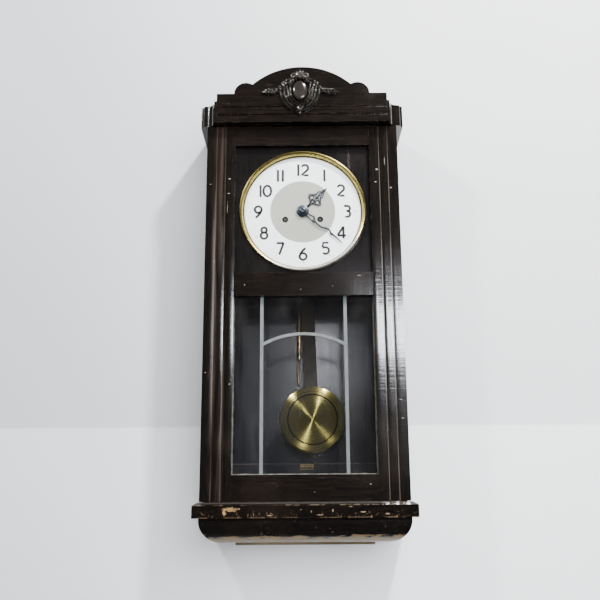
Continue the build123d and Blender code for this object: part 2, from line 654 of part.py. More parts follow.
# ---- going train ----
def click_angle(barrel):
    """Bearing from a barrel to the ratchet's tooth space that its click rests in."""
    first_tooth = -60 if barrel[0] > 0 else -165
    return first_tooth + 0.38 * 360 / RATCHET_TEETH


def click_stud(barrel):
    return polar(barrel, 14.0, click_angle(barrel) + 45)


def arbor(centre, front=26.0, rear=61.5, shaft=SHAFT, pivot=SLIM):
    """A steel arbor between the plates with a turned-down pivot at each end."""
    return turned(centre, [(0, FRONT_PLATE[0] - 0.4), (pivot, FRONT_PLATE[0] - 0.4), (pivot, front),
                           (shaft, front), (shaft, rear), (pivot, rear), (pivot, BACK_PLATE[1] + 0.4),
                           (0, BACK_PLATE[1] + 0.4)])


def make_barrel(centre, phase):
    """Spring barrel: a closed drum with the great wheel's teeth round its rear edge."""
    drum = turned(centre, [(BARREL_SHAFT + 0.75, 30.5), (24, 30.5), (24, 51), (22.5, 51),
                           (22.5, 32), (BARREL_SHAFT + 0.75, 32)])
    teeth = cut_out(tooth_ring(GREAT_TEETH, GREAT_MODULE, phase), (50, 52), centre[0], centre[1])
    return drum + (teeth - disc(centre, BARREL_SHAFT + 0.75, (49, 53)))


def make_mainspring(centre):
    """Coiled mainspring, drawn as a flat spiral of strip inside the drum."""
    turns, steps, inner, outer, strip = 6, 24, 8.0, 21.8, 0.6
    ridge, furrow = [], []
    for step in range(turns * steps + 1):
        share = step / (turns * steps)
        radius, angle = inner + (outer - inner) * share, 2 * pi * turns * share
        ridge.append((radius * cos(angle), radius * sin(angle)))
        furrow.append(((radius - strip) * cos(angle), (radius - strip) * sin(angle)))
    return cut_out(ridge + furrow[::-1], (33, 49), centre[0], centre[1])


RATCHET_TEETH, RATCHET_TIP, RATCHET_ROOT = 24, 9.6, 8.0


def ratchet_outline():
    """Saw teeth, each with a steep face and a long back, for winding clockwise."""
    points, step = [], 2 * pi / RATCHET_TEETH
    for tooth in range(RATCHET_TEETH):
        for radius, turn in ((RATCHET_TIP, tooth * step), (RATCHET_ROOT, (tooth + 0.12) * step)):
            points.append((radius * cos(turn), radius * sin(turn)))
    return points


def make_winding_arbor(centre):
    """Barrel arbor with its ratchet wheel in front of the plate and a winding square."""
    core = turned(centre, [(0, 16.0), (BARREL_SHAFT, 16.0), (BARREL_SHAFT, 26), (3.2, 26), (3.2, 61.6),
                           (BARREL_SHAFT, 61.6), (BARREL_SHAFT, 63.9), (0, 63.9)])
    square = board((centre[0] - 1.7, centre[0] + 1.7), (14.4, 16.0), (centre[1] - 1.7, centre[1] + 1.7))
    return core + square + cut_out(ratchet_outline(), (21.6, 23.4), centre[0], centre[1])


def make_click(centre):
    """Pawl whose nose rests in a tooth space of the ratchet and stops the spring unwinding."""
    stud, angle, depth = click_stud(centre), click_angle(centre), (21.8, 23.2)
    elbow, nose = polar(centre, 11.2, angle), polar(centre, 9.1, angle)
    body = disc(stud, 3.0, depth) + bar(stud, elbow, 1.6, depth) + bar(elbow, nose, 0.9, depth)
    return body - disc(stud, 1.25 + RUNNING, (21, 24))


def make_intermediate_arbor(phases):
    pinion_part = pinion(INTERMEDIATE, GREAT_PINION, GREAT_MODULE, phases["intermediate_pinion"], (48, 54))
    wheel_part = wheel(INTERMEDIATE, INTERMEDIATE_TEETH, INTERMEDIATE_MODULE, phases["intermediate_wheel"],
                       (56, 57.4), 6)
    collet = disc(INTERMEDIATE, 3.2, (54, 56))
    return arbor(INTERMEDIATE) + pinion_part + collet + wheel_part


def make_centre_arbor(phases):
    """Centre arbor with its pinion and wheel, and the cannon that carries the minute hand."""
    core = turned(CENTRE, [(0, 7.8), (1.6, 7.8), (1.6, 11.7), (2.5, 11.7), (2.5, 23.8), (1.5, 23.8),
                           (1.5, 26), (1.8, 26), (1.8, 61.6), (1.5, 61.6), (1.5, 63.9), (0, 63.9)])
    leaves = pinion(CENTRE, CENTRE_PINION, INTERMEDIATE_MODULE, phases["centre_pinion"], (54, 59))
    main = wheel(CENTRE, CENTRE_TEETH, CENTRE_MODULE, phases["centre_wheel"], (27.2, 28.6), 5)
    cannon = pinion(CENTRE, 12, 0.625, phases["cannon"], (22, 23.6))
    return core + leaves + main + cannon


def make_third_arbor(phases):
    leaves = pinion(THIRD, THIRD_PINION, CENTRE_MODULE, phases["third_pinion"], (26.4, 29.8))
    main = wheel(THIRD, THIRD_TEETH, THIRD_MODULE, phases["third_wheel"], (34, 35.2), 5)
    return arbor(THIRD, front=26.2) + leaves + disc(THIRD, 2.4, (32.5, 34)) + main


def make_escape_arbor(phases):
    """Escape wheel with thirty long raked teeth, and its pinion."""
    leaves = pinion(ESCAPE, ESCAPE_PINION, THIRD_MODULE, phases["escape_pinion"], (33, 37))
    points = []
    for tooth in range(ESCAPE_TEETH):
        turn, step = 2 * pi * tooth / ESCAPE_TEETH, 2 * pi / ESCAPE_TEETH
        for radius, share in ((8.6, -0.32), (ESCAPE_RADIUS, -0.05), (ESCAPE_RADIUS, 0.05), (8.6, 0.02)):
            points.append((radius * cos(turn + share * step), radius * sin(turn + share * step)))
    teeth = cut_out(points, (53, 54), ESCAPE[0], ESCAPE[1])
    return arbor(ESCAPE) + leaves + disc(ESCAPE, 2.2, (51.5, 53)) + teeth


def make_minute_wheel(phases):
    main = wheel(MINUTE_WHEEL, 36, 0.625, phases["minute_wheel"], (22, 23.6))
    leaves = pinion(MINUTE_WHEEL, 10, 0.6, phases["minute_pinion"], (17.4, 22))
    return main + leaves - disc(MINUTE_WHEEL, 1.25 + RUNNING, (16, 25))


def make_hour_wheel(phases):
    """Hour wheel and pipe over the cannon, with the twelve-step snail of the strike."""
    main = cut_out(tooth_ring(40, 0.6, phases["hour_wheel"]), (18.2, 19.4), CENTRE[0], CENTRE[1])
    pipe = disc(CENTRE, 3.2, (12.0, 21.6))
    steps = []
    for hour in range(12):
        radius = 10.4 - 0.42 * hour
        for share in (0.02, 0.5, 0.98):
            turn = 2 * pi * (hour + share) / 12
            steps.append((radius * cos(turn), radius * sin(turn)))
    snail = cut_out(steps, (16.4, 17.2), CENTRE[0], CENTRE[1])
    boss = disc(CENTRE, 4.6, (17.2, 18.2))
    return main + pipe + boss + snail - disc(CENTRE, 2.5 + RUNNING, (11, 25))


# ---- escapement and pendulum ----
def make_anchor():
    """Anchor, its arbor and the crutch that takes hold of the pendulum."""
    span = radians(45)
    legs = arbor(PIVOT)
    hub = (PIVOT[0], PIVOT[1])
    for side in (-1, 1):
        reach = ESCAPE_RADIUS + 1.8
        toe = (ESCAPE[0] + side * reach * sin(span), ESCAPE[1] + reach * cos(span))
        legs += bar(hub, toe, 1.5, (52.8, 54.2))
    crutch = bar(hub, (hub[0], hub[1] - 34), 2.0, (65, 66.4))
    legs += disc(hub, SLIM, (63, 66.4)) + disc(hub, 2.6, (65, 67.5)) + crutch
    pin = disc((hub[0], hub[1] - 34), 1.0, (66.4, 90))
    return legs + pin


def hung(solid):
    """Turn a plumb solid about the pendulum pivot to the clock's rest tilt."""
    pivot = Location((PIVOT[0], 0, z_at(PIVOT[1])))
    return pivot * Rot(0, -PENDULUM_TILT, 0) * pivot.inverse() * solid


def make_pendulum_rod():
    """Flat wooden rod, slotted near its top for the crutch pin."""
    height = PIVOT[1]
    low = height - BOB_DROP - 20
    rod = board((-ROD_WIDTH / 2, ROD_WIDTH / 2), ROD_DEPTHS, (low, height - 24))
    slot = board((-1.2, 1.2), (70, 90), (height - 38, height - 30))
    return rod - slot


def make_suspension():
    """Suspension spring between two brass chops."""
    height = PIVOT[1]
    strip = board((-3, 3), (79.35, 79.65), (height - 14, height + 8.5))
    chops = board((-5, 5), (77.5, 81.5), (height - 23.9, height - 12))
    return strip + chops


def make_bob():
    """Spun brass bob: a shallow convex face, one groove, a turned-over rim and a weight."""
    height = PIVOT[1] - BOB_DROP
    groove = 0.745 * BOB_RADIUS
    profile = [(0, 70.2), (14, 70.5), (27, 71.3), (groove - 1.2, 72.4), (groove - 0.6, 73.2),
               (groove + 0.6, 73.2), (groove + 1.2, 72.2), (46, 72.6), (50, 73.5), (52.4, 74.9),
               (BOB_RADIUS, 76.2), (52.2, 76.4), (0, 76.4)]
    shell = turned((0, height), profile)
    weight = disc((0, height), 44, (76.4, 86)) - board((-ROD_WIDTH / 2 - 0.3, ROD_WIDTH / 2 + 0.3),
                                                      (70, 82.7), (height - 60, height + 60))
    return group(shell, weight)


def make_rating_nut():
    """Nut under the bob on a thin threaded screw fixed in the rod's foot."""
    height = PIVOT[1] - BOB_DROP - 58
    x, y = 0, y_at(79.5)
    nut = Pos(x, y, z_at(height)) * Cylinder(4.5, 4) - Pos(x, y, z_at(height)) * Cylinder(1.2, 5)
    return nut


def make_rating_screw():
    top, low = PIVOT[1] - BOB_DROP - 20, PIVOT[1] - BOB_DROP - 69
    return Pos(0, y_at(79.5), z_at((top + low) / 2)) * Cylinder(1.15, top - low)


# ---- strike train ----
def make_star_arbor(phases):
    """Second arbor of the strike: its wheel, and the star that lifts the hammers."""
    leaves = pinion(STAR, GREAT_PINION, GREAT_MODULE, phases["star_pinion"], (48, 53))
    main = wheel(STAR, STAR_TEETH, STAR_MODULE, phases["star_wheel"], (56, 57.4), 5)
    points = []
    for ray in range(10):
        for radius, share in ((7.5, 0.0), (4.6, 0.5)):
            turn = 2 * pi * (ray + share) / 10
            points.append((radius * cos(turn), radius * sin(turn)))
    star = cut_out(points, (53.6, 54.8), STAR[0], STAR[1])
    return arbor(STAR) + leaves + disc(STAR, 3, (53, 56)) + main + star


def make_gather_arbor(phases):
    """Third arbor of the strike, with the gathering pallet in front of the plate."""
    leaves = pinion(GATHER, GATHER_PINION, STAR_MODULE, phases["gather_pinion"], (54.5, 59))
    main = wheel(GATHER, GATHER_TEETH, GATHER_MODULE, phases["gather_wheel"], (40, 41.2), 5)
    front = disc(GATHER, SLIM, (19.4, 25)) + bar(GATHER, (GATHER[0] + 1.6, GATHER[1]), 1.2, (19.6, 21.2))
    return arbor(GATHER) + leaves + disc(GATHER, 2.4, (38.5, 40)) + main + front


def make_warning_arbor(phases):
    leaves = pinion(WARNING, WARNING_PINION, GATHER_MODULE, phases["warning_pinion"], (38.5, 42.5))
    main = wheel(WARNING, WARNING_TEETH, WARNING_MODULE, phases["warning_wheel"], (46, 47), 4)
    return arbor(WARNING) + leaves + disc(WARNING, 2.2, (44.5, 46)) + main


def make_fly(phases):
    """Fly: the two-bladed fan that paces the strike."""
    leaves = pinion(FLY, FLY_PINION, WARNING_MODULE, phases["fly_pinion"], (45, 48))
    blades = board((FLY[0] - 8.5, FLY[0] + 8.5), (28, 38), (FLY[1] - 0.25, FLY[1] + 0.25))
    return arbor(FLY) + leaves + blades + disc(FLY, 1.9, (30, 36))


def make_hammer(index):
    """A hammer on its own arbor: tail by the star, arm and leather-tipped head behind."""
    depth = (95.0, 107.0)[index]
    rod_x, rod_radius = GONG_RODS[index][0], GONG_RODS[index][1]
    arm_depth = (depth + 0.2, depth + 1.8)
    up = DIAL_HEIGHT + 66.0 + 9.0 * index
    bore = 0.0
    if index == 0:
        hub = disc(HAMMER, HAMMER_SHAFT, (FRONT_PLATE[0] - 0.4, arm_depth[1]))
        tail = bar(HAMMER, polar(HAMMER, 12.5, -38), 1.6, (53.6, 54.8))
    else:
        bore = HAMMER_SHAFT + RUNNING
        hub = ring(HAMMER, 3.0, bore, (98.0, arm_depth[1]))
        tail = bar(HAMMER, polar(HAMMER, 8, 190), 1.6, (98.0, 99.4))
    neck = (rod_x - rod_radius - 17.0, up)
    arm = bar(HAMMER, neck, 1.6, arm_depth)
    head_place = Pos(rod_x - rod_radius - 9.5, y_at(sum(arm_depth) / 2), z_at(up))
    head = head_place * Rot(0, 90, 0) * Cylinder(4, 15)
    solid = hub + tail + arm + head
    return solid - disc(HAMMER, bore, (90, 115)) if bore else solid


GONG_RODS = ((-7.3, 3.0, 96.0, 249.0), (-9.6, 2.0, 108.0, 208.0))   # x, radius, depth, lowest height
GONG_TOP = 570.0


def make_gong_rods():
    rods = []
    for x, radius, depth, low in GONG_RODS:
        rods.append(Pos(x, y_at(depth), z_at((GONG_TOP + low) / 2)) * Cylinder(radius, GONG_TOP - low))
    return group(*rods)


def make_gong_block():
    """Iron block on the back board that the gong rods are driven into."""
    block = board((-18, 10), (90, BACK_BOARD[0]), (GONG_TOP - 4, GONG_TOP + 22))
    for x, radius, depth, low in GONG_RODS:
        block -= Pos(x, y_at(depth), z_at(GONG_TOP - 4)) * Cylinder(radius, 8)
    return block


def make_rack():
    """Rack: a toothed sector by the gathering pallet and a tail towards the snail."""
    reach = hypot(GATHER[0] - RACK[0], GATHER[1] - RACK[1])
    towards = degrees(bearing(RACK, GATHER))
    tip, root = reach - 2.6, reach - 4.2
    points = [polar((0, 0), root - 3, towards + 27), polar((0, 0), root - 3, towards - 4)]
    for tooth in range(14):
        angle = towards - 4 + 2.2 * tooth
        points += [polar((0, 0), tip, angle), polar((0, 0), root, angle + 0.6)]
    sector = cut_out(points, (19.8, 21.0), RACK[0], RACK[1])
    arm = bar(RACK, polar(RACK, root - 2, towards + 10), 3, (19.8, 21.0))
    tail = bar(RACK, polar(RACK, 36, 24), 2, (19.8, 21.0))
    hub = disc(RACK, 3.5, (19.8, 21.0))
    return sector + arm + tail + hub - disc(RACK, 1.25 + RUNNING, (18, 25))


def train_phases():
    """Rest phase of every wheel and pinion, chained so that each pair is in mesh."""
    phases = {"going_great": 0.0, "strike_great": 0.0, "centre_pinion": 0.0, "centre_wheel": 0.0,
              "cannon": 0.0, "star_wheel": 0.0, "gather_wheel": 0.0, "warning_wheel": 0.0,
              "intermediate_wheel": 0.0, "third_wheel": 0.0, "minute_pinion": 0.0}
    pairs = [
        ("going_great", GOING_BARREL, GREAT_TEETH, "intermediate_pinion", INTERMEDIATE, GREAT_PINION),
        ("intermediate_wheel", INTERMEDIATE, INTERMEDIATE_TEETH, "centre_pinion", CENTRE, CENTRE_PINION),
        ("centre_wheel", CENTRE, CENTRE_TEETH, "third_pinion", THIRD, THIRD_PINION),
        ("third_wheel", THIRD, THIRD_TEETH, "escape_pinion", ESCAPE, ESCAPE_PINION),
        ("cannon", CENTRE, 12, "minute_wheel", MINUTE_WHEEL, 36),
        ("minute_pinion", MINUTE_WHEEL, 10, "hour_wheel", CENTRE, 40),
        ("strike_great", STRIKE_BARREL, GREAT_TEETH, "star_pinion", STAR, GREAT_PINION),
        ("star_wheel", STAR, STAR_TEETH, "gather_pinion", GATHER, GATHER_PINION),
        ("gather_wheel", GATHER, GATHER_TEETH, "warning_pinion", WARNING, WARNING_PINION),
        ("warning_wheel", WARNING, WARNING_TEETH, "fly_pinion", FLY, FLY_PINION),
    ]
    for driver, place, teeth, driven, other, other_teeth in pairs:
        phases[driven] = meshed(place, teeth, phases[driver], other, other_teeth)
    return phases


def main():
    phases = train_phases()
    sides = cut_for_hinges(make_case_sides().solids())
    stiles = cut_for_hinges(make_door_stiles().solids())
    parts = {
        "case_back": make_case_back(),
        "case_sides": sides,
        "hood_mouldings": make_hood_mouldings(),
        "hood_top_board": make_hood_top_board(),
        "crest_board": make_crest_board(),
        "crest_ornament": make_crest_ornament(),
        "base_ledge": make_base_ledge(),
        "base_cove": make_base_cove(),
        "base_under_board": make_base_under_board(),
        "hanger_plate": make_hanger_plate(),
        "label_plate": make_label_plate(),
        "case_hinges": make_case_hinges(),
        "catch_clip": make_catch_clip(),
        "case_screws": make_case_screws(),
        "movement_brackets": make_movement_brackets(),
        "front_plate": make_front_plate(),
        "back_plate": make_back_plate(),
        "plate_pillars": make_pillars(),
        "suspension_cock": make_suspension_cock(),
        "dial_plate": make_dial_plate(),
        "dial_fittings": make_dial_fittings(),
        "gong_block": make_gong_block(),
        "gong_rods": make_gong_rods(),
        "door_stiles": stiles,
        "door_rails": make_door_rails(),
        "dial_surround": make_dial_surround(),
        "bezel": make_bezel(),
        "bezel_glass": make_bezel_glass(),
        "glass_panes": make_glass_panes(),
        "lead_cames": make_cames(),
        "glass_beads": make_glass_beads(),
        "door_fittings": make_door_fittings(),
        "going_barrel": make_barrel(GOING_BARREL, phases["going_great"]),
        "going_mainspring": make_mainspring(GOING_BARREL),
        "going_winding_arbor": make_winding_arbor(GOING_BARREL),
        "going_click": make_click(GOING_BARREL),
        "strike_barrel": make_barrel(STRIKE_BARREL, phases["strike_great"]),
        "strike_mainspring": make_mainspring(STRIKE_BARREL),
        "strike_winding_arbor": make_winding_arbor(STRIKE_BARREL),
        "strike_click": make_click(STRIKE_BARREL),
        "intermediate_arbor": make_intermediate_arbor(phases),
        "centre_arbor": make_centre_arbor(phases),
        "minute_hand": make_minute_hand(),
        "hour_wheel": make_hour_wheel(phases),
        "hour_hand": make_hour_hand(),
        "minute_wheel": make_minute_wheel(phases),
        "third_arbor": make_third_arbor(phases),
        "escape_arbor": make_escape_arbor(phases),
        "anchor": hung(make_anchor()),
        "pendulum_rod": hung(group(make_pendulum_rod(), make_rating_screw())),
        "pendulum_suspension": hung(make_suspension()),
        "pendulum_bob": hung(make_bob()),
        "rating_nut": hung(make_rating_nut()),
        "star_arbor": make_star_arbor(phases),
        "gathering_arbor": make_gather_arbor(phases),
        "warning_arbor": make_warning_arbor(phases),
        "fly": make_fly(phases),
        "hammer_front": make_hammer(0),
        "hammer_rear": make_hammer(1),
        "strike_rack": make_rack(),
    }
    os.makedirs("parts", exist_ok=True)
    for name, shape in parts.items():
        export_step(shape, f"parts/{name}.step")


main()
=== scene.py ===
"""Looks of a pendulum wall clock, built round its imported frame.

Lengths in the calls below are in millimetres on the part's own scales: x to the right,
"height" above the underside of the base ledge and "depth" back from the door's front.
"""
import math
import random

import bmesh
import bpy
from mathutils import Matrix, Vector


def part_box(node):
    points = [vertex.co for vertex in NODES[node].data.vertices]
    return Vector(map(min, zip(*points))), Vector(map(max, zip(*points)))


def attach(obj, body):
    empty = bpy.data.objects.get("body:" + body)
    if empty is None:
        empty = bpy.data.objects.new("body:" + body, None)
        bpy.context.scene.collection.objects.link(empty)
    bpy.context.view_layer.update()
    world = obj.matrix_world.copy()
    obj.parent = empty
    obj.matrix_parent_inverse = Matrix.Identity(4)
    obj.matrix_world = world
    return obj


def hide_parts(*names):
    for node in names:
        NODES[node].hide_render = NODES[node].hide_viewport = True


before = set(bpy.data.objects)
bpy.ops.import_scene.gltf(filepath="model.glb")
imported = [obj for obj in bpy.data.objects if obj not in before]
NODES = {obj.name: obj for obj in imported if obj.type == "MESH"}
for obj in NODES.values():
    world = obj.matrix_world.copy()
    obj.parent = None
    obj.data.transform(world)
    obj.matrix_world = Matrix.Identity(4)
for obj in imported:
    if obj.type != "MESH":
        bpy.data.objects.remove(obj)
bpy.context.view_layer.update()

MM = 0.001
KEYHOLE_HEIGHT, CASE_DEPTH, DIAL_HEIGHT, DIAL_DEPTH = 600, 125, 478, 14
HOUR_ANGLE, MINUTE_ANGLE = 45, 131
EVEN = (1, 1, 1)
BOTH_SIDES = (-1, 1)


def at(x, depth, height):
    return Vector((x, depth - CASE_DEPTH, height - KEYHOLE_HEIGHT)) * MM


def y_at(depth):
    return at(0, depth, 0).y


def z_at(height):
    return at(0, 0, height).z


# ---- camera, lights and room ----
LENS, SENSOR_WIDTH, NEAREST = 46.22, 36, 0.05
CAMERA_PLACE = (-0.0033, -1.2914, -0.5602)
CAMERA_TURN = (13.82, -0.1, -0.41)  # pitch, yaw and roll in degrees

WARM, COOL, SKY = (1, 0.985, 0.96), (0.97, 0.985, 1), (0.9, 0.93, 1)
CASE_FRONT, STILE_FRONT = (0, -0.12, -0.3), (0.13, -0.125, -0.33)
LAMPS = (  # name, place, target, size, watts, colour, seen in reflections
    ("ceiling_right", (0.66, -1.12, 1.32), CASE_FRONT, (0.15, 0.13), 112, WARM, True),
    ("ceiling_left", (-0.92, -1, 0.8), CASE_FRONT, (0.13, 0.13), 29, WARM, True),
    ("room", (0.6, -2, 0.1), CASE_FRONT, (1.6, 1.4), 92, COOL, False),
    ("window", (0.72, -1.6, -0.004), STILE_FRONT, (0.92, 0.19), 33, SKY, True),
    ("window_jamb", (0.175, -1.6, -0.004), STILE_FRONT, (0.17, 0.19), 6.2, SKY, True),
    ("board_gleam", (0.078, -1.6, -0.095), (0.03, -0.01, -0.33), (0.085, 0.28), 1.45,
     (0.97, 0.93, 1), True),
    ("board_glow", (-0.08, -1.6, -0.09), (-0.03, -0.01, -0.33), (0.25, 0.32), 0.36,
     (0.98, 0.94, 1), True),
    ("behind", (0.3, 1.5, 0.4), (0, 0, -0.25), (1.2, 1.2), 40, COOL, False),
)
REACHED = {  # lamps that light only these nodes, as a sheet of window light does
    "window": "door_stiles door_rails dial_surround glass_panes hood_mouldings case_sides "
              "base_cove crest_board gong_rods",
    "window_jamb": "door_stiles",
    "board_gleam": "case_back",
    "board_glow": "case_back",
}
SPARED = {"ceiling_left": "door_stiles"}


def new_object(name, data):
    made = bpy.data.objects.new(name, data)
    bpy.context.collection.objects.link(made)
    return made


def make_camera():
    data = bpy.data.cameras.new("camera")
    data.lens, data.sensor_width, data.clip_start = LENS, SENSOR_WIDTH, NEAREST
    camera = new_object("camera", data)
    pitch, yaw, roll = (math.radians(angle) for angle in CAMERA_TURN)
    forward = Vector((math.sin(yaw) * math.cos(pitch), math.cos(yaw) * math.cos(pitch),
                      math.sin(pitch)))
    level = Vector((math.cos(yaw), -math.sin(yaw), 0))
    raised = level.cross(forward)
    right = math.cos(roll) * level + math.sin(roll) * raised
    up = -math.sin(roll) * level + math.cos(roll) * raised
    turn = Matrix((right, up, -forward)).transposed().to_4x4()
    camera.matrix_world = Matrix.Translation(CAMERA_PLACE) @ turn
    bpy.context.scene.camera = camera


def link_light(light, names, state):
    """Light only these nodes (INCLUDE), or all but these (EXCLUDE)."""
    receivers = bpy.data.collections.new(light.name + "_links")
    for name in names.split():
        receivers.objects.link(NODES[name])
    for member in receivers.collection_objects:
        member.light_linking.link_state = state
    light.light_linking.receiver_collection = receivers


def make_lights():
    """Every lamp in the table; returns the window, whose receivers grow later."""
    lights = {}
    for name, place, target, size, watts, colour, glossy in LAMPS:
        data = bpy.data.lights.new(name, "AREA")
        data.shape, data.size, data.size_y = "RECTANGLE", size[0], size[1]
        data.energy, data.color = watts, colour
        light = lights[name] = new_object(name, data)
        light.location = place
        aim = Vector(target) - light.location
        light.rotation_euler = aim.to_track_quat("-Z", "Y").to_euler()
        light.visible_glossy = glossy
    for table, state in ((REACHED, "INCLUDE"), (SPARED, "EXCLUDE")):
        for name, nodes in table.items():
            link_light(lights[name], nodes, state)
    return lights["window"]


def make_room():
    """Dim, cool surroundings that brighten overhead."""
    world = bpy.data.worlds.new("world")
    bpy.context.scene.world = world
    world.use_nodes = True
    nodes, links = world.node_tree.nodes, world.node_tree.links
    background = nodes["Background"]
    coords = nodes.new("ShaderNodeTexCoord")
    axes = nodes.new("ShaderNodeSeparateXYZ")
    links.new(coords.outputs["Generated"], axes.inputs[0])
    rise = nodes.new("ShaderNodeMapRange")
    for name, number in (("From Min", -0.2), ("From Max", 0.9), ("To Min", 0.05), ("To Max", 0.15)):
        rise.inputs[name].default_value = number
    links.new(axes.outputs["Z"], rise.inputs["Value"])
    background.inputs["Color"].default_value = (*SKY, 1)
    links.new(rise.outputs[0], background.inputs["Strength"])


# ---- node helpers ----
RAGGEDNESS, QUARTER_TURN = 1.6, 0.25


class Surface:
    """A material under construction: the helpers return sockets, and principled the material."""

    def __init__(self, name):
        self.material = bpy.data.materials.new(name)
        self.material.use_nodes = True
        self.nodes, self.links = self.material.node_tree.nodes, self.material.node_tree.links
        self.nodes.clear()
        self.place = self.node("ShaderNodeTexCoord").outputs["Object"]

    def node(self, kind, settings=None, **sockets):
        made = self.nodes.new(kind)
        for name, value in (settings or {}).items():
            setattr(made, name, value)
        for name, value in sockets.items():
            self.feed(made.inputs[name.replace("_", " ")], value)
        return made

    def feed(self, socket, value):
        if isinstance(value, bpy.types.NodeSocket):
            self.links.new(value, socket)
        elif isinstance(value, tuple) and len(value) == 3 and socket.type == "RGBA":
            socket.default_value = (*value, 1)
        else:
            socket.default_value = value

    def math(self, operation, a, b=0, clamp=False):
        made = self.node("ShaderNodeMath", {"operation": operation, "use_clamp": clamp})
        self.feed(made.inputs[0], a)
        self.feed(made.inputs[1], b)
        return made.outputs[0]

    def times(self, *factors):
        product = factors[0]
        for factor in factors[1:]:
            product = self.math("MULTIPLY", product, factor)
        return product

    def plus(self, a, b):
        return self.math("ADD", a, b, clamp=True)

    def ramp(self, value, low, high, out=(0, 1)):
        """Smooth step of value from low to high."""
        made = self.node("ShaderNodeMapRange", {"interpolation_type": "SMOOTHSTEP"}, Value=value)
        for name, number in zip(("From Min", "From Max", "To Min", "To Max"), (low, high, *out)):
            made.inputs[name].default_value = number
        return made.outputs[0]

    def mix(self, share, a, b):
        made = self.node("ShaderNodeMix", {"data_type": "RGBA"})
        self.feed(made.inputs[0], share)
        self.feed(made.inputs[6], a)
        self.feed(made.inputs[7], b)
        return made.outputs[2]

    def apart(self, a, b):
        """How far two values are from each other."""
        return self.math("ABSOLUTE", self.math("SUBTRACT", a, b))

    def vector(self, operation, *values):
        made = self.node("ShaderNodeVectorMath", {"operation": operation})
        for socket, value in zip(made.inputs, values):
            self.feed(socket, value)
        return made.outputs["Value" if operation in ("LENGTH", "DOT_PRODUCT") else "Vector"]

    def noise(self, scale, stretch=EVEN, detail=3, distortion=0, shift=(0, 0, 0)):
        moved = self.node("ShaderNodeMapping", Vector=self.place, Scale=stretch, Location=shift)
        made = self.node("ShaderNodeTexNoise", Vector=moved.outputs[0], Scale=scale, Detail=detail,
                         Distortion=distortion)
        return made.outputs[0]

    def noise_along(self, value, scale, detail=2):
        """Noise that changes with one value: rings from a radius, rays from an angle."""
        line = self.node("ShaderNodeCombineXYZ", X=value)
        made = self.node("ShaderNodeTexNoise", Vector=line.outputs[0], Scale=scale, Detail=detail)
        return made.outputs[0]

    def axes(self, vector=None):
        vector = self.place if vector is None else vector
        return self.node("ShaderNodeSeparateXYZ", Vector=vector).outputs

    def polar(self, centre):
        """x, z and radius round a centre, in the dial's plane."""
        x, _, z = self.axes(self.vector("SUBTRACT", self.place, centre))
        square = self.math("ADD", self.math("POWER", x, 2), self.math("POWER", z, 2))
        return x, z, self.math("SQRT", square)

    def near(self, point, radii, soft=0.45, ragged=None):
        """1 inside an ellipsoid round a point, falling to 0 at its edge."""
        away = self.vector("SUBTRACT", self.place, point)
        scaled = self.vector("DIVIDE", away, [radius * MM for radius in radii])
        distance = self.vector("LENGTH", scaled)
        if ragged is not None:
            uneven = self.math("MULTIPLY", self.math("SUBTRACT", ragged, 0.5), RAGGEDNESS)
            distance = self.math("ADD", distance, uneven)
        return self.ramp(distance, 1, 1 - soft)

    def edges(self, radius, low=0.02, high=0.22):
        """1 on sharp edges, from how a rounded normal leaves the true one."""
        rounded = self.node("ShaderNodeBevel", {"samples": 6}, Radius=radius * MM).outputs[0]
        true = self.node("ShaderNodeNewGeometry").outputs["Normal"]
        match = self.vector("DOT_PRODUCT", rounded, true)
        return self.ramp(self.math("SUBTRACT", 1, match), low, high)

    def bump(self, height, strength, distance, below=None):
        made = self.node("ShaderNodeBump", Strength=strength, Distance=distance * MM, Height=height)
        if below is not None:
            self.links.new(below, made.inputs["Normal"])
        return made.outputs[0]

    def blend(self, share, below, above):
        """One shader over another."""
        made = self.node("ShaderNodeMixShader")
        for socket, value in zip(made.inputs, (share, below, above)):
            self.links.new(value, socket)
        return made.outputs[0]

    def spun(self, strength):
        """Sockets of lathe-turned metal, whose highlights run out from its centre."""
        tangent = self.node("ShaderNodeTangent", {"direction_type": "RADIAL", "axis": "Y"})
        return dict(Metallic=1, Anisotropic=strength, Anisotropic_Rotation=QUARTER_TURN,
                    Tangent=tangent.outputs[0])

    def principled(self, colour, roughness, normal=None, **sockets):
        if normal is not None:
            sockets["Normal"] = normal
        sockets.update(Base_Color=colour, Roughness=roughness)
        return self.finish(self.node("ShaderNodeBsdfPrincipled", **sockets).outputs[0])

    def finish(self, shader):
        out = self.node("ShaderNodeOutputMaterial")
        self.links.new(shader, out.inputs["Surface"])
        return self.material


GRAIN = 14
ALONG_Z, ALONG_X = (GRAIN, GRAIN, 1), (1, GRAIN, GRAIN)


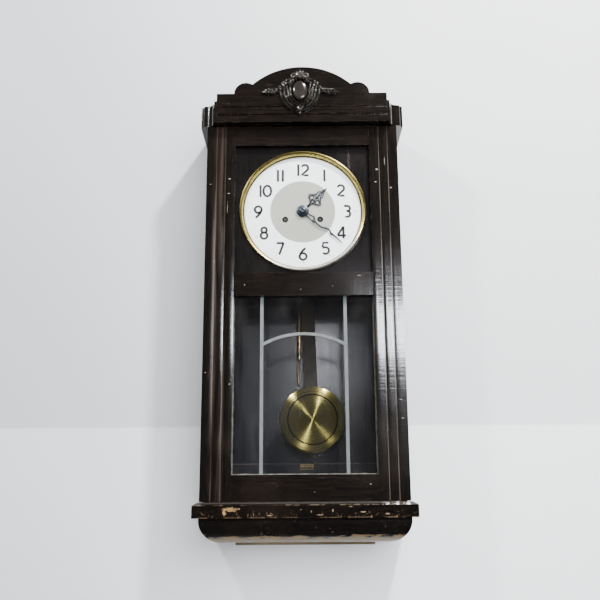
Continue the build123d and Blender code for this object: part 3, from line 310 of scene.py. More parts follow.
def wood(name, grain, dark=(0.0016, 0.0012, 0.001), light=(0.0047, 0.0031, 0.0021), rough=0.12,
         worn=(0.046, 0.027, 0.0155), edge_wear=0.7, marks=None, gloss=1):
    """Ebonised wood: long grain, worn arrises, hair scratches and lost polish."""
    s = Surface(name)
    cross = tuple(GRAIN / value for value in grain)
    streaks = s.noise(34, grain, 6, 0.6)
    fibres = s.noise(150, grain, 4, 0.2, (3, 1, 2))
    clouds = s.noise(9, EVEN, 3, 0.4, (7, 2, 5))
    colour = s.mix(s.ramp(streaks, 0.36, 0.68), dark, light)
    colour = s.mix(s.times(s.ramp(clouds, 0.5, 0.72), 0.5), colour, tuple(1.8 * c for c in light))
    scratch_field = s.noise(70, tuple(0.12 if g == 1 else 1 for g in grain), 2, 0.9, (11, 4, 8))
    scratches = s.times(s.ramp(scratch_field, 0.705, 0.74), s.ramp(fibres, 0.42, 0.6), 0.35)
    patches = s.noise(80, EVEN, 5, 0.5, (1, 9, 4))
    wear = s.times(s.edges(0.9), s.ramp(patches, 0.44, 0.64), edge_wear)
    dust = s.noise(420, EVEN, 2, 0, (5, 5, 1))
    specks = s.times(s.ramp(dust, 0.735, 0.78), 0.5)
    bare = wear_and_highlight = s.plus(wear, scratches)
    if marks:
        ragged = s.noise(360, EVEN, 3, 0.6, (6, 2, 3))
        for amount, tone in marks(s, fibres, ragged):
            colour = s.mix(amount, colour, tone)
            wear_and_highlight = s.plus(wear_and_highlight, s.times(amount, 0.8))
    colour = s.mix(bare, colour, worn)
    colour = s.mix(specks, colour, (0.075, 0.07, 0.062))
    sheen_map = s.plus(s.ramp(clouds, 0.3, 0.8, (rough, rough + 0.06)), s.times(wear_and_highlight, 0.45))
    wavy = s.noise(22, cross, 2, 0.3, (2, 6, 1))
    normal = s.bump(fibres, 0.1, 0.25)
    normal = s.bump(wavy, 0.12, 0.8, normal)
    return s.principled(
        colour, sheen_map, normal, Coat_Weight=0.3 * gloss, Coat_Roughness=0.05,
        Specular_IOR_Level=0.5 * gloss)


def metal(name, colour, dull, rough, brush=EVEN):
    """Metal with tarnish in clouds, fine scratches and rubbed edges."""
    s = Surface(name)
    clouds = s.noise(46, EVEN, 4, 0.4, (4, 2, 1))
    fine = s.noise(700, brush, 2, 0, (1, 3, 2))
    shade = s.mix(s.times(s.ramp(clouds, 0.42, 0.75), 0.35), colour, dull)
    shade = s.mix(s.times(s.edges(0.5), 0.4), shade, tuple(min(1, 1.25 * c) for c in colour))
    roughness = s.plus(s.ramp(clouds, 0.3, 0.8, (rough, rough + 0.12)), s.times(fine, 0.05))
    return s.principled(shade, roughness, s.bump(fine, 0.06, 0.05), Metallic=1)


# ---- materials of the case ----
REED_GROOVES = (125, 139.5)
# x, height, half width and half height of each chip
STILE_CHIPS = (
    (-118, 530, 2.6, 1.6), (-119.5, 505, 3.2, 0.8), (-121, 480, 0.45, 12), (-149, 521, 2.2, 0.7),
    (-141, 391, 1.3, 1), (-112.5, 286, 1.2, 5), (121, 545, 2.6, 1.8), (118.5, 523, 2.2, 1.2),
    (143, 513, 2.4, 1.3), (115.5, 213, 1.7, 0.9), (146, 171, 3.4, 0.6), (148, 143, 2.8, 0.7),
    (-150.5, 214, 1.4, 1.2), (-113.5, 196, 1.2, 1.2), (134, 560, 0.5, 9), (148.5, 243, 1.2, 3))
LEDGE_CHIPS = (
    (-96, 13, 2, 1.4), (84, 8, 5, 1.6), (118, 5, 5, 1.4), (21, 4, 6, 1.2), (-52, 3.5, 5, 1.2),
    (66, 15.5, 4, 0.8), (40, 10, 1.4, 2.6), (9, 9, 1, 2.4), (-6, 11.5, 1.6, 0.7))
RAIL_CHIPS = (
    (-92, 352, 1.5, 1.1), (-4, 344, 1.2, 1), (46, 349, 1, 1), (88, 366, 4, 0.7),
    (97, 47, 1.6, 1.2), (14, 36, 1.2, 0.9))


def chip_marks(s, ragged, chips, depth, thick, soft, share, tone, mask=()):
    """Pale chips through the polish, in (amount, tone) pairs."""
    marks = []
    for x, height, across, tall in chips:
        amount = s.near(at(x, depth, height), (across, thick, tall), soft, ragged)
        marks.append((s.times(*mask, amount, share), tone))
    return marks


def stile_marks(s, fibres, ragged):
    """Worn ridges between the reeds, pale chips and a few long scratches."""
    x = s.axes()[0]
    side = s.math("ABSOLUTE", x)
    left = s.ramp(x, 0.02, -0.02)
    marks = []
    drift = s.noise(7, (0.2, 0.2, 1), 3, 0, (2, 2, 9))
    hair = s.noise(60, (1, 1, 0.06), 3, 0.4, (6, 1, 3))
    for groove in REED_GROOVES:
        off = s.apart(side, groove * MM)
        ridge = s.times(s.ramp(off, 1.15 * MM, 0.35 * MM), s.ramp(drift, 0.3, 0.55, (0.35, 1)))
        marks.append((s.times(ridge, s.ramp(x, -0.02, 0.02, (0.34, 0.55))), (0.038, 0.026, 0.015)))
        band = s.times(s.ramp(off, 4.2 * MM, 0.8 * MM), left, s.ramp(hair, 0.38, 0.66))
        marks.append((s.times(band, 0.5), (0.031, 0.019, 0.0105)))
    worn_side = s.times(left, s.ramp(side, 121.5 * MM, 127.5 * MM),
                        s.ramp(side, 147 * MM, 141 * MM), s.ramp(hair, 0.4, 0.7))
    marks.append((s.times(worn_side, 0.65), (0.023, 0.012, 0.0072)))
    return marks + chip_marks(s, ragged, STILE_CHIPS, 0.6, 6, 0.6, 0.8, (0.17, 0.145, 0.115))


def ledge_marks(s, fibres, ragged):
    """Knocked lower edge, an ochre scrape and chips along the ledge, and dust on its top."""
    _, y, z = s.axes()
    front = s.ramp(y, y_at(-13.5), y_at(-14.6))
    run = s.noise(70, (1, 1, 0.7), 5, 0.8, (3, 8, 1))
    nicks = s.noise(430, (1, 1, 0.55), 4, 0.5, (1, 4, 8))
    top = s.ramp(z, z_at(19.2), z_at(20.6))
    low = s.times(front, s.ramp(z, z_at(13), z_at(0.5)), s.ramp(run, 0.4, 0.62),
                  s.ramp(nicks, 0.585, 0.65))
    foot = s.times(front, s.ramp(z, z_at(2.4), z_at(0.6)), s.ramp(run, 0.44, 0.56))
    rim = s.times(s.ramp(s.apart(z, z_at(18.2)), 1 * MM, 0.3 * MM), s.ramp(run, 0.46, 0.62))
    scrape = s.times(front, s.near(at(-109, -15, 12), (13, 6, 3.6), 0.5, ragged),
                     s.ramp(fibres, 0.35, 0.55))
    hang = s.times(front, s.near(at(-117, -15, 8), (3.4, 6, 5.5), 0.6, ragged))
    marks = [(s.times(top, 0.95), (0.0125, 0.0095, 0.0072)),
             (s.times(low, 0.85), (0.13, 0.09, 0.052)),
             (s.times(foot, nicks, 0.75), (0.1, 0.063, 0.034)),
             (s.times(rim, 0.6), (0.1, 0.075, 0.052)),
             (s.times(scrape, 0.9), (0.27, 0.165, 0.066)),
             (s.times(hang, 0.9), (0.25, 0.15, 0.062))]
    return marks + chip_marks(s, ragged, LEDGE_CHIPS, -15, 6, 0.8, 0.8, (0.19, 0.13, 0.075),
                              [front])


def cove_marks(s, fibres, ragged):
    """Bare ochre wood along the pan's lower front edge, with nicks above it."""
    z = s.axes()[2]
    run = s.noise(20, (1, 0.3, 0.6), 5, 0.9, (1, 8, 6))
    height = s.math("SUBTRACT", z, s.times(s.ramp(run, 0.2, 0.85), 9 * MM))
    strip = s.ramp(height, z_at(-28.6), z_at(-30))
    gaps = s.ramp(s.noise(55, (1, 1, 2.5), 5, 0.6, (9, 1, 2)), 0.36, 0.5)
    ochre = s.mix(s.ramp(fibres, 0.35, 0.7), (0.132, 0.084, 0.029), (0.074, 0.045, 0.015))
    nicks = s.times(s.ramp(s.noise(120, EVEN, 3, 0.5, (2, 2, 7)), 0.66, 0.72),
                    s.ramp(z, z_at(0), z_at(-20)))
    return [(s.times(strip, gaps, 0.92), ochre), (s.times(nicks, 0.4), (0.08, 0.055, 0.035))]


def rail_marks(s, fibres, ragged):
    """A few small chips."""
    return chip_marks(s, ragged, RAIL_CHIPS, 0.2, 5, 0.6, 0.75, (0.1, 0.09, 0.078))


def make_back_board():
    """Dark stained board with streaks of dull polish, pale bluish clouds that are partly lacquer
    bloom and partly painted sheen, and one scored line, raw behind.
    """
    s = Surface("back_board")
    _, y, z = s.axes()
    streaks = s.noise(30, (1, 1, 0.1), 6, 0.5)
    fibres = s.noise(160, (1, 1, 0.05), 4, 0.3, (3, 1, 2))
    clouds = s.noise(7, (1, 1, 0.7), 3, 0.6, (4, 4, 1))
    colour = s.mix(s.ramp(streaks, 0.35, 0.7), (0.0046, 0.0044, 0.0052), (0.011, 0.0105, 0.0125))
    # Pale bluish clouds: partly lacquer bloom, partly a painted sheen of reflected light.
    bloom_and_sheen = s.times(s.ramp(clouds, 0.38, 0.75), s.ramp(fibres, 0.3, 0.75, (0.4, 1)))
    colour = s.mix(s.times(bloom_and_sheen, 0.4), colour, (0.03, 0.03, 0.037))
    rear = s.ramp(y, y_at(122), y_at(123.5))
    scored = s.ramp(s.apart(z, z_at(80.5)), 0.9 * MM, 0.3 * MM)
    colour = s.mix(s.times(scored, 0.7), colour, (0.06, 0.044, 0.037))
    raw = s.mix(s.ramp(streaks, 0.33, 0.7), (0.055, 0.034, 0.019), (0.125, 0.082, 0.048))
    raw = s.mix(s.times(s.ramp(clouds, 0.45, 0.75), 0.5), raw, (0.045, 0.03, 0.019))
    colour = s.mix(rear, colour, raw)
    roughness = s.plus(s.ramp(fibres, 0.3, 0.7, (0.14, 0.21)), s.times(rear, 0.45))
    return s.principled(
        colour, roughness, s.bump(streaks, 0.2, 0.5),
        Coat_Weight=s.times(s.math("SUBTRACT", 1, rear), 0.2), Coat_Roughness=0.12)


# radius, width and tone of the dial's printed circles
DIAL_CIRCLES = ((53, 0.5, (0.5, 0.5, 0.49)), (88.6, 0.5, (0.6, 0.62, 0.64)),
                (82.4, 0.25, (0.66, 0.68, 0.7)))


def make_dial_face():
    """Silvered white ring round a warm grey centre, with faint turning marks, age spots and painted
    shade at its rim.
    """
    s = Surface("dial_face")
    x, z, radius = s.polar(at(0, DIAL_DEPTH, DIAL_HEIGHT))
    turned = s.noise_along(radius, 900)
    rays = s.noise_along(s.math("ARCTAN2", z, x), 60, 3)
    clouds = s.noise(24, EVEN, 4, 0.4)
    spots = s.ramp(s.noise(260, EVEN, 2, 0), 0.72, 0.8)
    white = s.mix(s.ramp(rays, 0.35, 0.7), (0.8, 0.815, 0.84), (0.87, 0.88, 0.9))
    white = s.mix(s.times(s.ramp(clouds, 0.5, 0.8), 0.35), white, (0.66, 0.69, 0.71))
    grey = s.mix(s.ramp(turned, 0.3, 0.7), (0.272, 0.268, 0.243), (0.305, 0.3, 0.272))
    grey = s.mix(s.times(s.ramp(clouds, 0.45, 0.8), 0.4), grey, (0.225, 0.22, 0.205))
    colour = s.mix(s.ramp(radius, 52.9 * MM, 52.3 * MM), white, grey)
    for line, wide, tone in DIAL_CIRCLES:
        off = s.apart(radius, line * MM)
        colour = s.mix(s.times(s.ramp(off, wide * MM, 0.2 * wide * MM), 0.55), colour, tone)
    colour = s.mix(s.times(spots, 0.4), colour, (0.42, 0.4, 0.36))
    # Painted shade: the rim is greyed where the bezel overhangs it.
    colour = s.mix(s.ramp(radius, 89 * MM, 96 * MM, (0, 0.35)), colour, (0.55, 0.55, 0.53))
    return s.principled(
        colour, s.ramp(rays, 0.2, 0.8, (0.34, 0.46)), s.bump(turned, 0.03, 0.05))


def make_glass(name, tint, dust_amount, wave, shine_share=1):
    """Clear glass that only reflects on its outer side of each face, with thin dust."""
    s = Surface(name)
    outer = s.math("SUBTRACT", 1, s.node("ShaderNodeNewGeometry").outputs["Backfacing"])
    clear = s.node("ShaderNodeBsdfTransparent", Color=tint).outputs[0]
    ripple = s.noise(10, (1, 1, 0.5), 2, 0.3)
    shine = s.node("ShaderNodeBsdfGlossy", Color=(1, 1, 1), Roughness=0.035,
                   Normal=s.bump(ripple, wave, 1)).outputs[0]
    reflect = s.node("ShaderNodeFresnel", IOR=1.52).outputs[0]
    body = s.blend(s.times(reflect, shine_share, outer), clear, shine)
    film = s.noise(17, (1, 1, 0.5), 5, 0.8)
    specks = s.ramp(s.noise(520, EVEN, 2, 0, (3, 3, 1)), 0.74, 0.8)
    dust = s.plus(s.ramp(film, 0.35, 0.8, (0.15 * dust_amount, dust_amount)), s.times(specks, 0.35))
    matt = s.node("ShaderNodeBsdfDiffuse", Color=(0.62, 0.61, 0.61)).outputs[0]
    return s.finish(s.blend(s.times(dust, outer), body, matt))


def make_bob_brass():
    """Brass spun on a lathe: the light draws rays from its centre, round a ring of painted shade
    where the groove is.
    """
    s = Surface("bob_brass")
    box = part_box("pendulum_bob")
    radius = s.polar((box[0] + box[1]) / 2)[2]
    turned = s.noise_along(radius, 1400)
    clouds = s.noise(30, EVEN, 4, 0.4)
    colour = s.mix(s.ramp(clouds, 0.35, 0.75), (0.8, 0.68, 0.2), (0.64, 0.52, 0.14))
    colour = s.mix(s.times(s.ramp(turned, 0.35, 0.7), 0.35), colour, (0.54, 0.43, 0.12))
    # Painted shade: a near-black ring standing for the shade in the turned groove.
    groove = s.ramp(s.apart(radius, 39.5 * MM), 1.5 * MM, 0.7 * MM)
    colour = s.mix(s.times(groove, 0.92), colour, (0.03, 0.022, 0.01))
    return s.principled(
        colour, s.ramp(turned, 0.3, 0.7, (0.25, 0.3)), s.bump(turned, 0.05, 0.04),
        **s.spun(0.98))


def make_bezel_brass():
    """Spun brass ring: olive gold above, paler along its lower half as a painted highlight."""
    s = Surface("bezel_brass")
    x, _, z = s.axes()
    clouds = s.noise(38, EVEN, 4, 0.5, (4, 2, 1))
    fine = s.noise(600, EVEN, 2, 0)
    low = s.ramp(s.math("ADD", z, s.times(x, -0.25)), z_at(DIAL_HEIGHT - 45),
                 z_at(DIAL_HEIGHT - 96))
    colour = s.mix(s.ramp(clouds, 0.38, 0.72), (0.47, 0.385, 0.115), (0.31, 0.24, 0.075))
    # Painted highlight: the lower half is mixed towards pale silvery brass.
    colour = s.mix(s.times(low, 0.85), colour, (0.95, 0.92, 0.83))
    colour = s.mix(s.times(s.edges(0.6), 0.35), colour, (0.8, 0.72, 0.42))
    spots = s.ramp(s.noise(210, EVEN, 3, 0.3, (2, 2, 2)), 0.66, 0.74)
    colour = s.mix(s.times(spots, 0.5), colour, (0.16, 0.12, 0.05))
    return s.principled(
        colour, s.ramp(clouds, 0.3, 0.8, (0.24, 0.36)), s.bump(fine, 0.05, 0.05),
        **s.spun(0.55))


def make_label_brass():
    """Thin brass plate with a darker band and bright lines, and no writing."""
    s = Surface("label_brass")
    z = s.axes()[2]
    clouds = s.noise(160, EVEN, 4, 0.4)
    colour = s.mix(s.ramp(clouds, 0.35, 0.7), (0.5, 0.37, 0.16), (0.3, 0.2, 0.09))
    band = s.ramp(z, z_at(75.2), z_at(74.2))
    colour = s.mix(s.times(band, 0.8), colour, (0.12, 0.065, 0.035))
    for height in (75.6, 71.8, 79.3):
        off = s.apart(z, z_at(height))
        colour = s.mix(s.times(s.ramp(off, 0.5 * MM, 0.25 * MM), 0.8), colour, (0.62, 0.5, 0.28))
    return s.principled(colour, s.ramp(clouds, 0.3, 0.7, (0.34, 0.5)), Metallic=0.8)


def make_lead():
    """Grey lead, dull and pitted, with painted shade darkening its edges."""
    s = Surface("lead_came")
    clouds = s.noise(60, (1, 1, 0.4), 5, 0.5)
    pits = s.noise(500, EVEN, 3, 0)
    colour = s.mix(s.ramp(clouds, 0.35, 0.7), (0.165, 0.18, 0.18), (0.11, 0.12, 0.12))
    # Painted shade: the edges of the came are darkened.
    colour = s.mix(s.times(s.edges(0.7), 0.5), colour, (0.09, 0.095, 0.095))
    return s.principled(
        colour, s.ramp(clouds, 0.3, 0.8, (0.42, 0.6)), s.bump(pits, 0.12, 0.1), Metallic=0.35)


def painted(name, colour, second, rough, scale=60, bump=0.1):
    """Matt or satin coat in two clouded tones."""
    s = Surface(name)
    clouds = s.noise(scale, EVEN, 4, 0.5)
    fine = s.noise(scale * 9, EVEN, 3, 0)
    shade = s.mix(s.ramp(clouds, 0.35, 0.72), colour, second)
    return s.principled(
        shade, s.ramp(clouds, 0.3, 0.8, (rough, rough + 0.15)), s.bump(fine, bump, 0.1),
        Specular_IOR_Level=0.4)


def make_ornament_finish():
    """Glossy near-black, its high parts lightened browner, partly wear and partly painted
    highlight, and dark in the hollows.
    """
    s = Surface("carving")
    patches = s.noise(90, EVEN, 4, 0.4)
    high = s.ramp(s.axes()[1], y_at(-18), y_at(-21.4))
    colour = s.mix(s.ramp(patches, 0.35, 0.7), (0.0024, 0.0021, 0.0019), (0.006, 0.0046, 0.0036))
    # Painted highlight, with some wear: the raised parts are lightened to a browner tone.
    wear_and_highlight = s.times(high, s.ramp(patches, 0.34, 0.6, (0.35, 1)))
    colour = s.mix(s.times(wear_and_highlight, 0.8), colour, (0.034, 0.028, 0.0225))
    # Painted highlight: a faint lighter tone on the sharp edges.
    colour = s.mix(s.times(s.edges(0.8, 0.05, 0.4), 0.3), colour, (0.05, 0.04, 0.031))
    return s.principled(
        colour, s.ramp(patches, 0.3, 0.8, (0.22, 0.34)), s.bump(patches, 0.06, 0.3),
        Coat_Weight=0.12, Coat_Roughness=0.16)


def make_cabochon_finish():
    """The smooth oval: near-black brown polish with faint cloudy wear."""
    s = Surface("carving_oval")
    patches = s.noise(70, EVEN, 4, 0.4)
    colour = s.mix(s.ramp(patches, 0.35, 0.7), (0.0085, 0.0066, 0.0058), (0.015, 0.0115, 0.0098))
    return s.principled(
        colour, s.ramp(patches, 0.3, 0.8, (0.15, 0.2)), s.bump(patches, 0.03, 0.3))


def paint(names, material):
    for name in names.split():
        slots = NODES[name].data.materials
        slots.clear()
        slots.append(material)


def paint_case():
    paint("door_stiles", wood("wood_upright", ALONG_Z, marks=stile_marks))
    paint("door_rails crest_board", wood("wood_level", ALONG_X, marks=rail_marks))
    paint("hood_mouldings", wood("wood_plain", ALONG_Z))
    paint("base_ledge", wood("wood_ledge", ALONG_X, marks=ledge_marks, edge_wear=0.9))
    paint("base_cove", wood("wood_cove", ALONG_X, rough=0.24, marks=cove_marks, edge_wear=0.9))
    paint("base_under_board", wood("wood_under", ALONG_X, (0.095, 0.068, 0.038),
                                   (0.155, 0.115, 0.068), 0.6, (0.2, 0.155, 0.1), 0.5))
    paint("dial_surround", wood("wood_panel", ALONG_Z, (0.002, 0.0017, 0.0017),
                                (0.0044, 0.0036, 0.0034), 0.12, edge_wear=0.3))
    paint("case_sides", wood("wood_flank", ALONG_Z, (0.0034, 0.0025, 0.0019),
                             (0.013, 0.0082, 0.0054), 0.34, gloss=0.4))
    paint("hood_top_board", wood("wood_lid", ALONG_X, (0.0042, 0.0034, 0.0028),
                                 (0.015, 0.0108, 0.0078), 0.45, gloss=0.3))
    paint("glass_beads", wood("wood_inside", ALONG_Z, (0.008, 0.006, 0.005),
                              (0.018, 0.012, 0.008), 0.5))
    paint("pendulum_rod", wood("wood_rod", ALONG_Z, (0.007, 0.0058, 0.0042),
                               (0.0165, 0.0112, 0.0072), 0.28, (0.05, 0.03, 0.018), 0.4))
    paint("case_back", make_back_board())


def paint_metal():
    """Everything that isn't wood; returns the blued steel, which the hands share."""
    blued = metal("steel_blued", (0.075, 0.09, 0.115), (0.04, 0.046, 0.056), 0.32)
    paint("going_mainspring strike_mainspring", blued)
    paint("front_plate back_plate plate_pillars suspension_cock going_barrel strike_barrel "
          "intermediate_arbor hour_wheel minute_wheel third_arbor escape_arbor star_arbor "
          "gathering_arbor warning_arbor fly",
          metal("brass_drawn", (0.7, 0.55, 0.26), (0.42, 0.3, 0.13), 0.28))
    paint("case_hinges door_fittings catch_clip",
          metal("brass_dull", (0.5, 0.38, 0.18), (0.28, 0.19, 0.09), 0.4))
    paint("hanger_plate case_screws movement_brackets going_click strike_click strike_rack anchor "
          "pendulum_suspension hammer_front hammer_rear",
          metal("steel_bright", (0.56, 0.57, 0.59), (0.34, 0.33, 0.32), 0.3))
    paint("going_winding_arbor strike_winding_arbor centre_arbor",
          metal("steel_old", (0.16, 0.165, 0.17), (0.08, 0.08, 0.08), 0.36))
    # Painted shade: the rating nut is coloured dark so it stays as dark as its shade below the bob.
    paint("rating_nut", metal("nut_painted_shade", (0.085, 0.068, 0.036), (0.045, 0.035, 0.02), 0.4))
    paint("gong_block", painted("iron_japanned", (0.016, 0.016, 0.017), (0.035, 0.032, 0.03), 0.42))
    paint("gong_rods", metal("gong_copper", (0.78, 0.52, 0.24), (0.4, 0.24, 0.11), 0.24,
                             (1, 1, 0.1)))
    paint("dial_fittings", painted("eyelet_bronze", (0.005, 0.005, 0.005), (0.009, 0.0085, 0.008),
                                   0.35, 300))
    paint("bezel", make_bezel_brass())
    paint("pendulum_bob", make_bob_brass())
    paint("label_plate", make_label_brass())
    paint("lead_cames", make_lead())
    paint("dial_plate", make_dial_face())
    paint("bezel_glass", make_glass("dial_glass", (0.985, 0.99, 0.99), 0.006, 0.02, 0.6))
    paint("glass_panes", make_glass("pane_glass", (0.94, 0.95, 0.955), 0.0145, 0.1))
    return blued


# ---- mesh helpers ----
def add_piece(name, builder, material, body, smooth=False, level=0):
    """Link a bmesh as a named piece that rides on a body."""
    bmesh.ops.recalc_face_normals(builder, faces=builder.faces)
    mesh = bpy.data.meshes.new(name)
    builder.to_mesh(mesh)
    builder.free()
    for polygon in mesh.polygons:
        polygon.use_smooth = smooth
    piece = new_object(name, mesh)
    mesh.materials.append(material)
    if level:
        smoothing = piece.modifiers.new("smooth", "SUBSURF")
        smoothing.levels = smoothing.render_levels = level
    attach(piece, body)
    return piece


def ring(builder, sides, place):
    """Vertices round a circle, each where place(cosine, sine) puts it."""
    turns = [2 * math.pi * k / sides for k in range(sides)]
    return [builder.verts.new(place(math.cos(turn), math.sin(turn))) for turn in turns]


def skin(builder, rims, closed=False, capped=True):
    """Quads from each ring of vertices to the next, and a face on each open end."""
    count = len(rims[0])
    for first, second in zip(rims, rims[1:] + (rims[:1] if closed else [])):
        for k in range(count):
            after = (k + 1) % count
            builder.faces.new((first[k], first[after], second[after], second[k]))
    if capped and not closed:
        builder.faces.new(rims[0])
        builder.faces.new(rims[-1][::-1])


def heading(path, index, closed=False):
    """Unit vector along a path at one of its points."""
    before = path[index - 1] if closed or index else path[0]
    after = path[(index + 1) % len(path)] if closed or index < len(path) - 1 else path[-1]
    return Vector([b - a for a, b in zip(before, after)]).normalized()


def ribbon(builder, points, widths, depths, closed=False):
    """A flat strip through 2D points, between two depths: what a pierced hand is made of."""
    near, far = depths
    rims = []
    for index, (x, height) in enumerate(points):
        along = heading(points, index, closed)
        half = widths[index] / 2 if isinstance(widths, (list, tuple)) else widths / 2
        rims.append([
            builder.verts.new(at(x - off * along.y, depth, height + off * along.x))
            for off, depth in ((half, near), (half, far), (-half, far), (-half, near))])
    skin(builder, rims, closed)


def arc(centre, radius, start, end, steps=14, squash=1):
    """Points on an arc, angles in degrees anticlockwise from the right."""
    points = []
    for step in range(steps + 1):
        angle = math.radians(start + (end - start) * step / steps)
        points.append((centre[0] + radius * math.cos(angle),
                       centre[1] + squash * radius * math.sin(angle)))
    return points


def smooth_line(points, steps=6):
    """Catmull-Rom line through points of any dimension."""
    line = []
    for index in range(len(points) - 1):
        quad = [points[max(index - 1, 0)], points[index], points[index + 1],
                points[min(index + 2, len(points) - 1)]]
        for step in range(steps):
            t = step / steps
            line.append(tuple(0.5 * (2 * b + (c - a) * t + (2 * a - 5 * b + 4 * c - d) * t * t
                                     + (3 * b - a - 3 * c + d) * t ** 3)
                              for a, b, c, d in zip(*quad)))
    line.append(tuple(points[-1]))
    return line


# ---- dial figures ----
FIGURE_HEIGHT, FIGURE_STROKE, FIGURE_RING = 20.8, 3.9, 72.2
FIGURE_GAPS = {"10": (-6, 5), "11": (-4, 4), "12": (-6.6, 4.2)}
DOT_RING, IN_DIAL = 85.4, 14.02


LOW, MIDDLE, TOP = 0.06, 0.5, 0.94
SIX = [arc((0, 0.31), 0.265, 0, 360, 30),
       smooth_line([(0.2, 0.98), (0, 0.8), (-0.18, 0.56), (-0.265, 0.34)], 5)]
FIGURES = {  # centre lines of plain geometric figures, in a box as high as 1 and about 0.6 wide
    "0": [arc((0, MIDDLE), 0.3, 0, 360, 36, 0.44 / 0.3)],
    "1": [[(0, 0), (0, 1)]],
    "2": [arc((0, 0.68), 0.26, 158, -38, 16) + [(-0.27, LOW), (0, LOW), (0.3, LOW)]],
    "3": [[(-0.25, TOP)] + arc((0, 0.72), 0.22, 78, -90, 12),
          [(-0.06, MIDDLE)] + arc((-0.01, 0.28), 0.245, 90, -128, 14)],
    "4": [[(0.14, 0), (0.14, 1)], [(0.14, 0.97), (-0.31, 0.27)], [(-0.33, 0.25), (0.34, 0.25)]],
    "5": [[(0.24, TOP), (-0.17, TOP), (-0.22, 0.56)],
          [(-0.22, 0.56)] + arc((0, 0.31), 0.265, 118, -140, 16)],
    "6": SIX,
    "7": [[(-0.3, TOP), (0.27, TOP)], [(0.24, TOP), (-0.1, 0)]],
    "8": [arc((0, 0.735), 0.205, 0, 360, 28), arc((0, 0.285), 0.255, 0, 360, 30)],
    "9": [[(-x, 1 - y) for x, y in stroke] for stroke in SIX],
}


def make_figures(ink):
    """The twelve hours, upright on their ring."""
    builder = bmesh.new()
    for hour in range(1, 13):
        angle = math.radians(30 * hour)
        centre = (FIGURE_RING * math.sin(angle), DIAL_HEIGHT + FIGURE_RING * math.cos(angle))
        digits = str(hour)
        gap = FIGURE_GAPS.get(digits, (0,))
        for digit, shift in zip(digits, gap):
            for stroke in FIGURES[digit]:
                points = [(centre[0] + shift + x * FIGURE_HEIGHT,
                           centre[1] + (y - 0.5) * FIGURE_HEIGHT) for x, y in stroke]
                loop = len(points) > 20 and math.dist(points[0], points[-1]) < 0.01
                ribbon(builder, points[:-1] if loop else points, FIGURE_STROKE,
                       (13.9, IN_DIAL), loop)
    add_piece("dial_figures", builder, ink, "case")


def flat_disc(builder, x, height, radius, depths, sides=14):
    skin(builder, [ring(builder, sides, lambda c, s: at(x + radius * c, depth, height + radius * s))
                   for depth in depths])


def make_minute_dots(ink, faint):
    """A dot at each hour and a faint mark at each minute between."""
    dots, ticks = bmesh.new(), bmesh.new()
    for minute in range(60):
        angle = math.radians(6 * minute)
        x, height = DOT_RING * math.sin(angle), DIAL_HEIGHT + DOT_RING * math.cos(angle)
        if minute % 5:
            flat_disc(ticks, x, height, 0.32, (13.93, IN_DIAL), 10)
        else:
            flat_disc(dots, x, height, 0.95, (13.91, IN_DIAL))
    add_piece("dial_dots", dots, ink, "case")
    add_piece("dial_minute_marks", ticks, faint, "case")


# ---- hands ----
def hand_point(along, across, angle):
    """A point of a hand, along it from the centre and across it clockwise, in x and height."""
    turn = math.radians(angle)
    return (along * math.sin(turn) + across * math.cos(turn),
            DIAL_HEIGHT + along * math.cos(turn) - across * math.sin(turn))


def hub(builder, profile, sides=48):
    """A turned boss round the dial's centre, from (radius, depth) pairs."""
    rims = [ring(builder, sides, lambda c, s: at(radius * c, depth, DIAL_HEIGHT + radius * s))
            for radius, depth in profile]
    skin(builder, rims, closed=True)


def hand_pen(builder, angle, depths, steps):
    """A pen for one hand: it draws through (along, across) points, tapering between two widths."""
    def line(points, widths, closed=False):
        path = points if closed else smooth_line(points, steps)
        if isinstance(widths, tuple):
            start, end = widths
            widths = [start + (end - start) * k / (len(path) - 1) for k in range(len(path))]
        ribbon(builder, [hand_point(u, v, angle) for u, v in path], widths, depths, closed)
    return line


# points along and across the hand, then the widths at both ends; these have a twin each
HOUR_HAND_SIDE = (
    (((6, 1.1), (14, 1), (18.5, 1.6), (21.5, 4.6), (23.5, 8.6), (25.5, 11.4), (29.3, 13.6)),
     (1.7, 1.2)),
    (((29.3, 13.6), (30.6, 10.6), (32.6, 8.6), (35.4, 6.6), (37.2, 3.6)), (1.1, 1.8)),
    (((37, 3.4), (39.2, 5.6), (42, 5.2), (46, 3), (50.5, 1.2), (56, 0.1)), (1.6, 1)),
    (((18, 0.6), (21, 2.4), (24.4, 3), (27, 2)), (1.2, 1.4)),
    (((31, 6.8), (33, 4.4), (33.4, 1.8), (31.2, 0.8)), (1.3, 1)),
)
HOUR_HAND_MIDDLE = (
    (((25.4, 0), (32, 0), (38.6, 0)), (1.8, 2.6)),
    (((43.6, 0), (48, 0), (56.2, 0)), (4.2, 0.5)),
    (((7.4, 0), (18.4, 0)), (3.4, 2.6)),
)
MINUTE_HAND = (
    (((6, -3), (12, -2.4), (16.5, -3.4), (20.5, -4.6), (23.5, -2.6), (26.5, 0.2)), (2.3, 1.6)),
    (((6.5, 1.6), (13, 1.8), (19, 2.8), (23.5, 2.6), (27, 0.6)), (2.2, 1.6)),
    (((20, -4.4), (22.6, -1), (23.6, 2.4)), (1.1, 1.2)),
    (((24, 2.4), (26.2, 4.4), (27.2, 3.2)), (0.9, 0.7)),
    (((26, 0.3), (31, 1.4), (36.5, 1.6), (41.4, 1), (45.4, -0.6), (50.5, -3), (55.5, -2.8),
      (59.6, -0.6), (62.5, -1)), (2.4, 2.8)),
    (((44.6, -0.4), (45.6, -3.2), (47.4, -4.4)), (1.4, 0.5)),
    (((58.5, -1.6), (60.5, 1.4), (62.2, 1.2)), (1.8, 0.8)),
    (((60.5, -0.8), (68, -1.1), (76, -0.6), (83.4, 0)), (3.4, 1.1)),
)
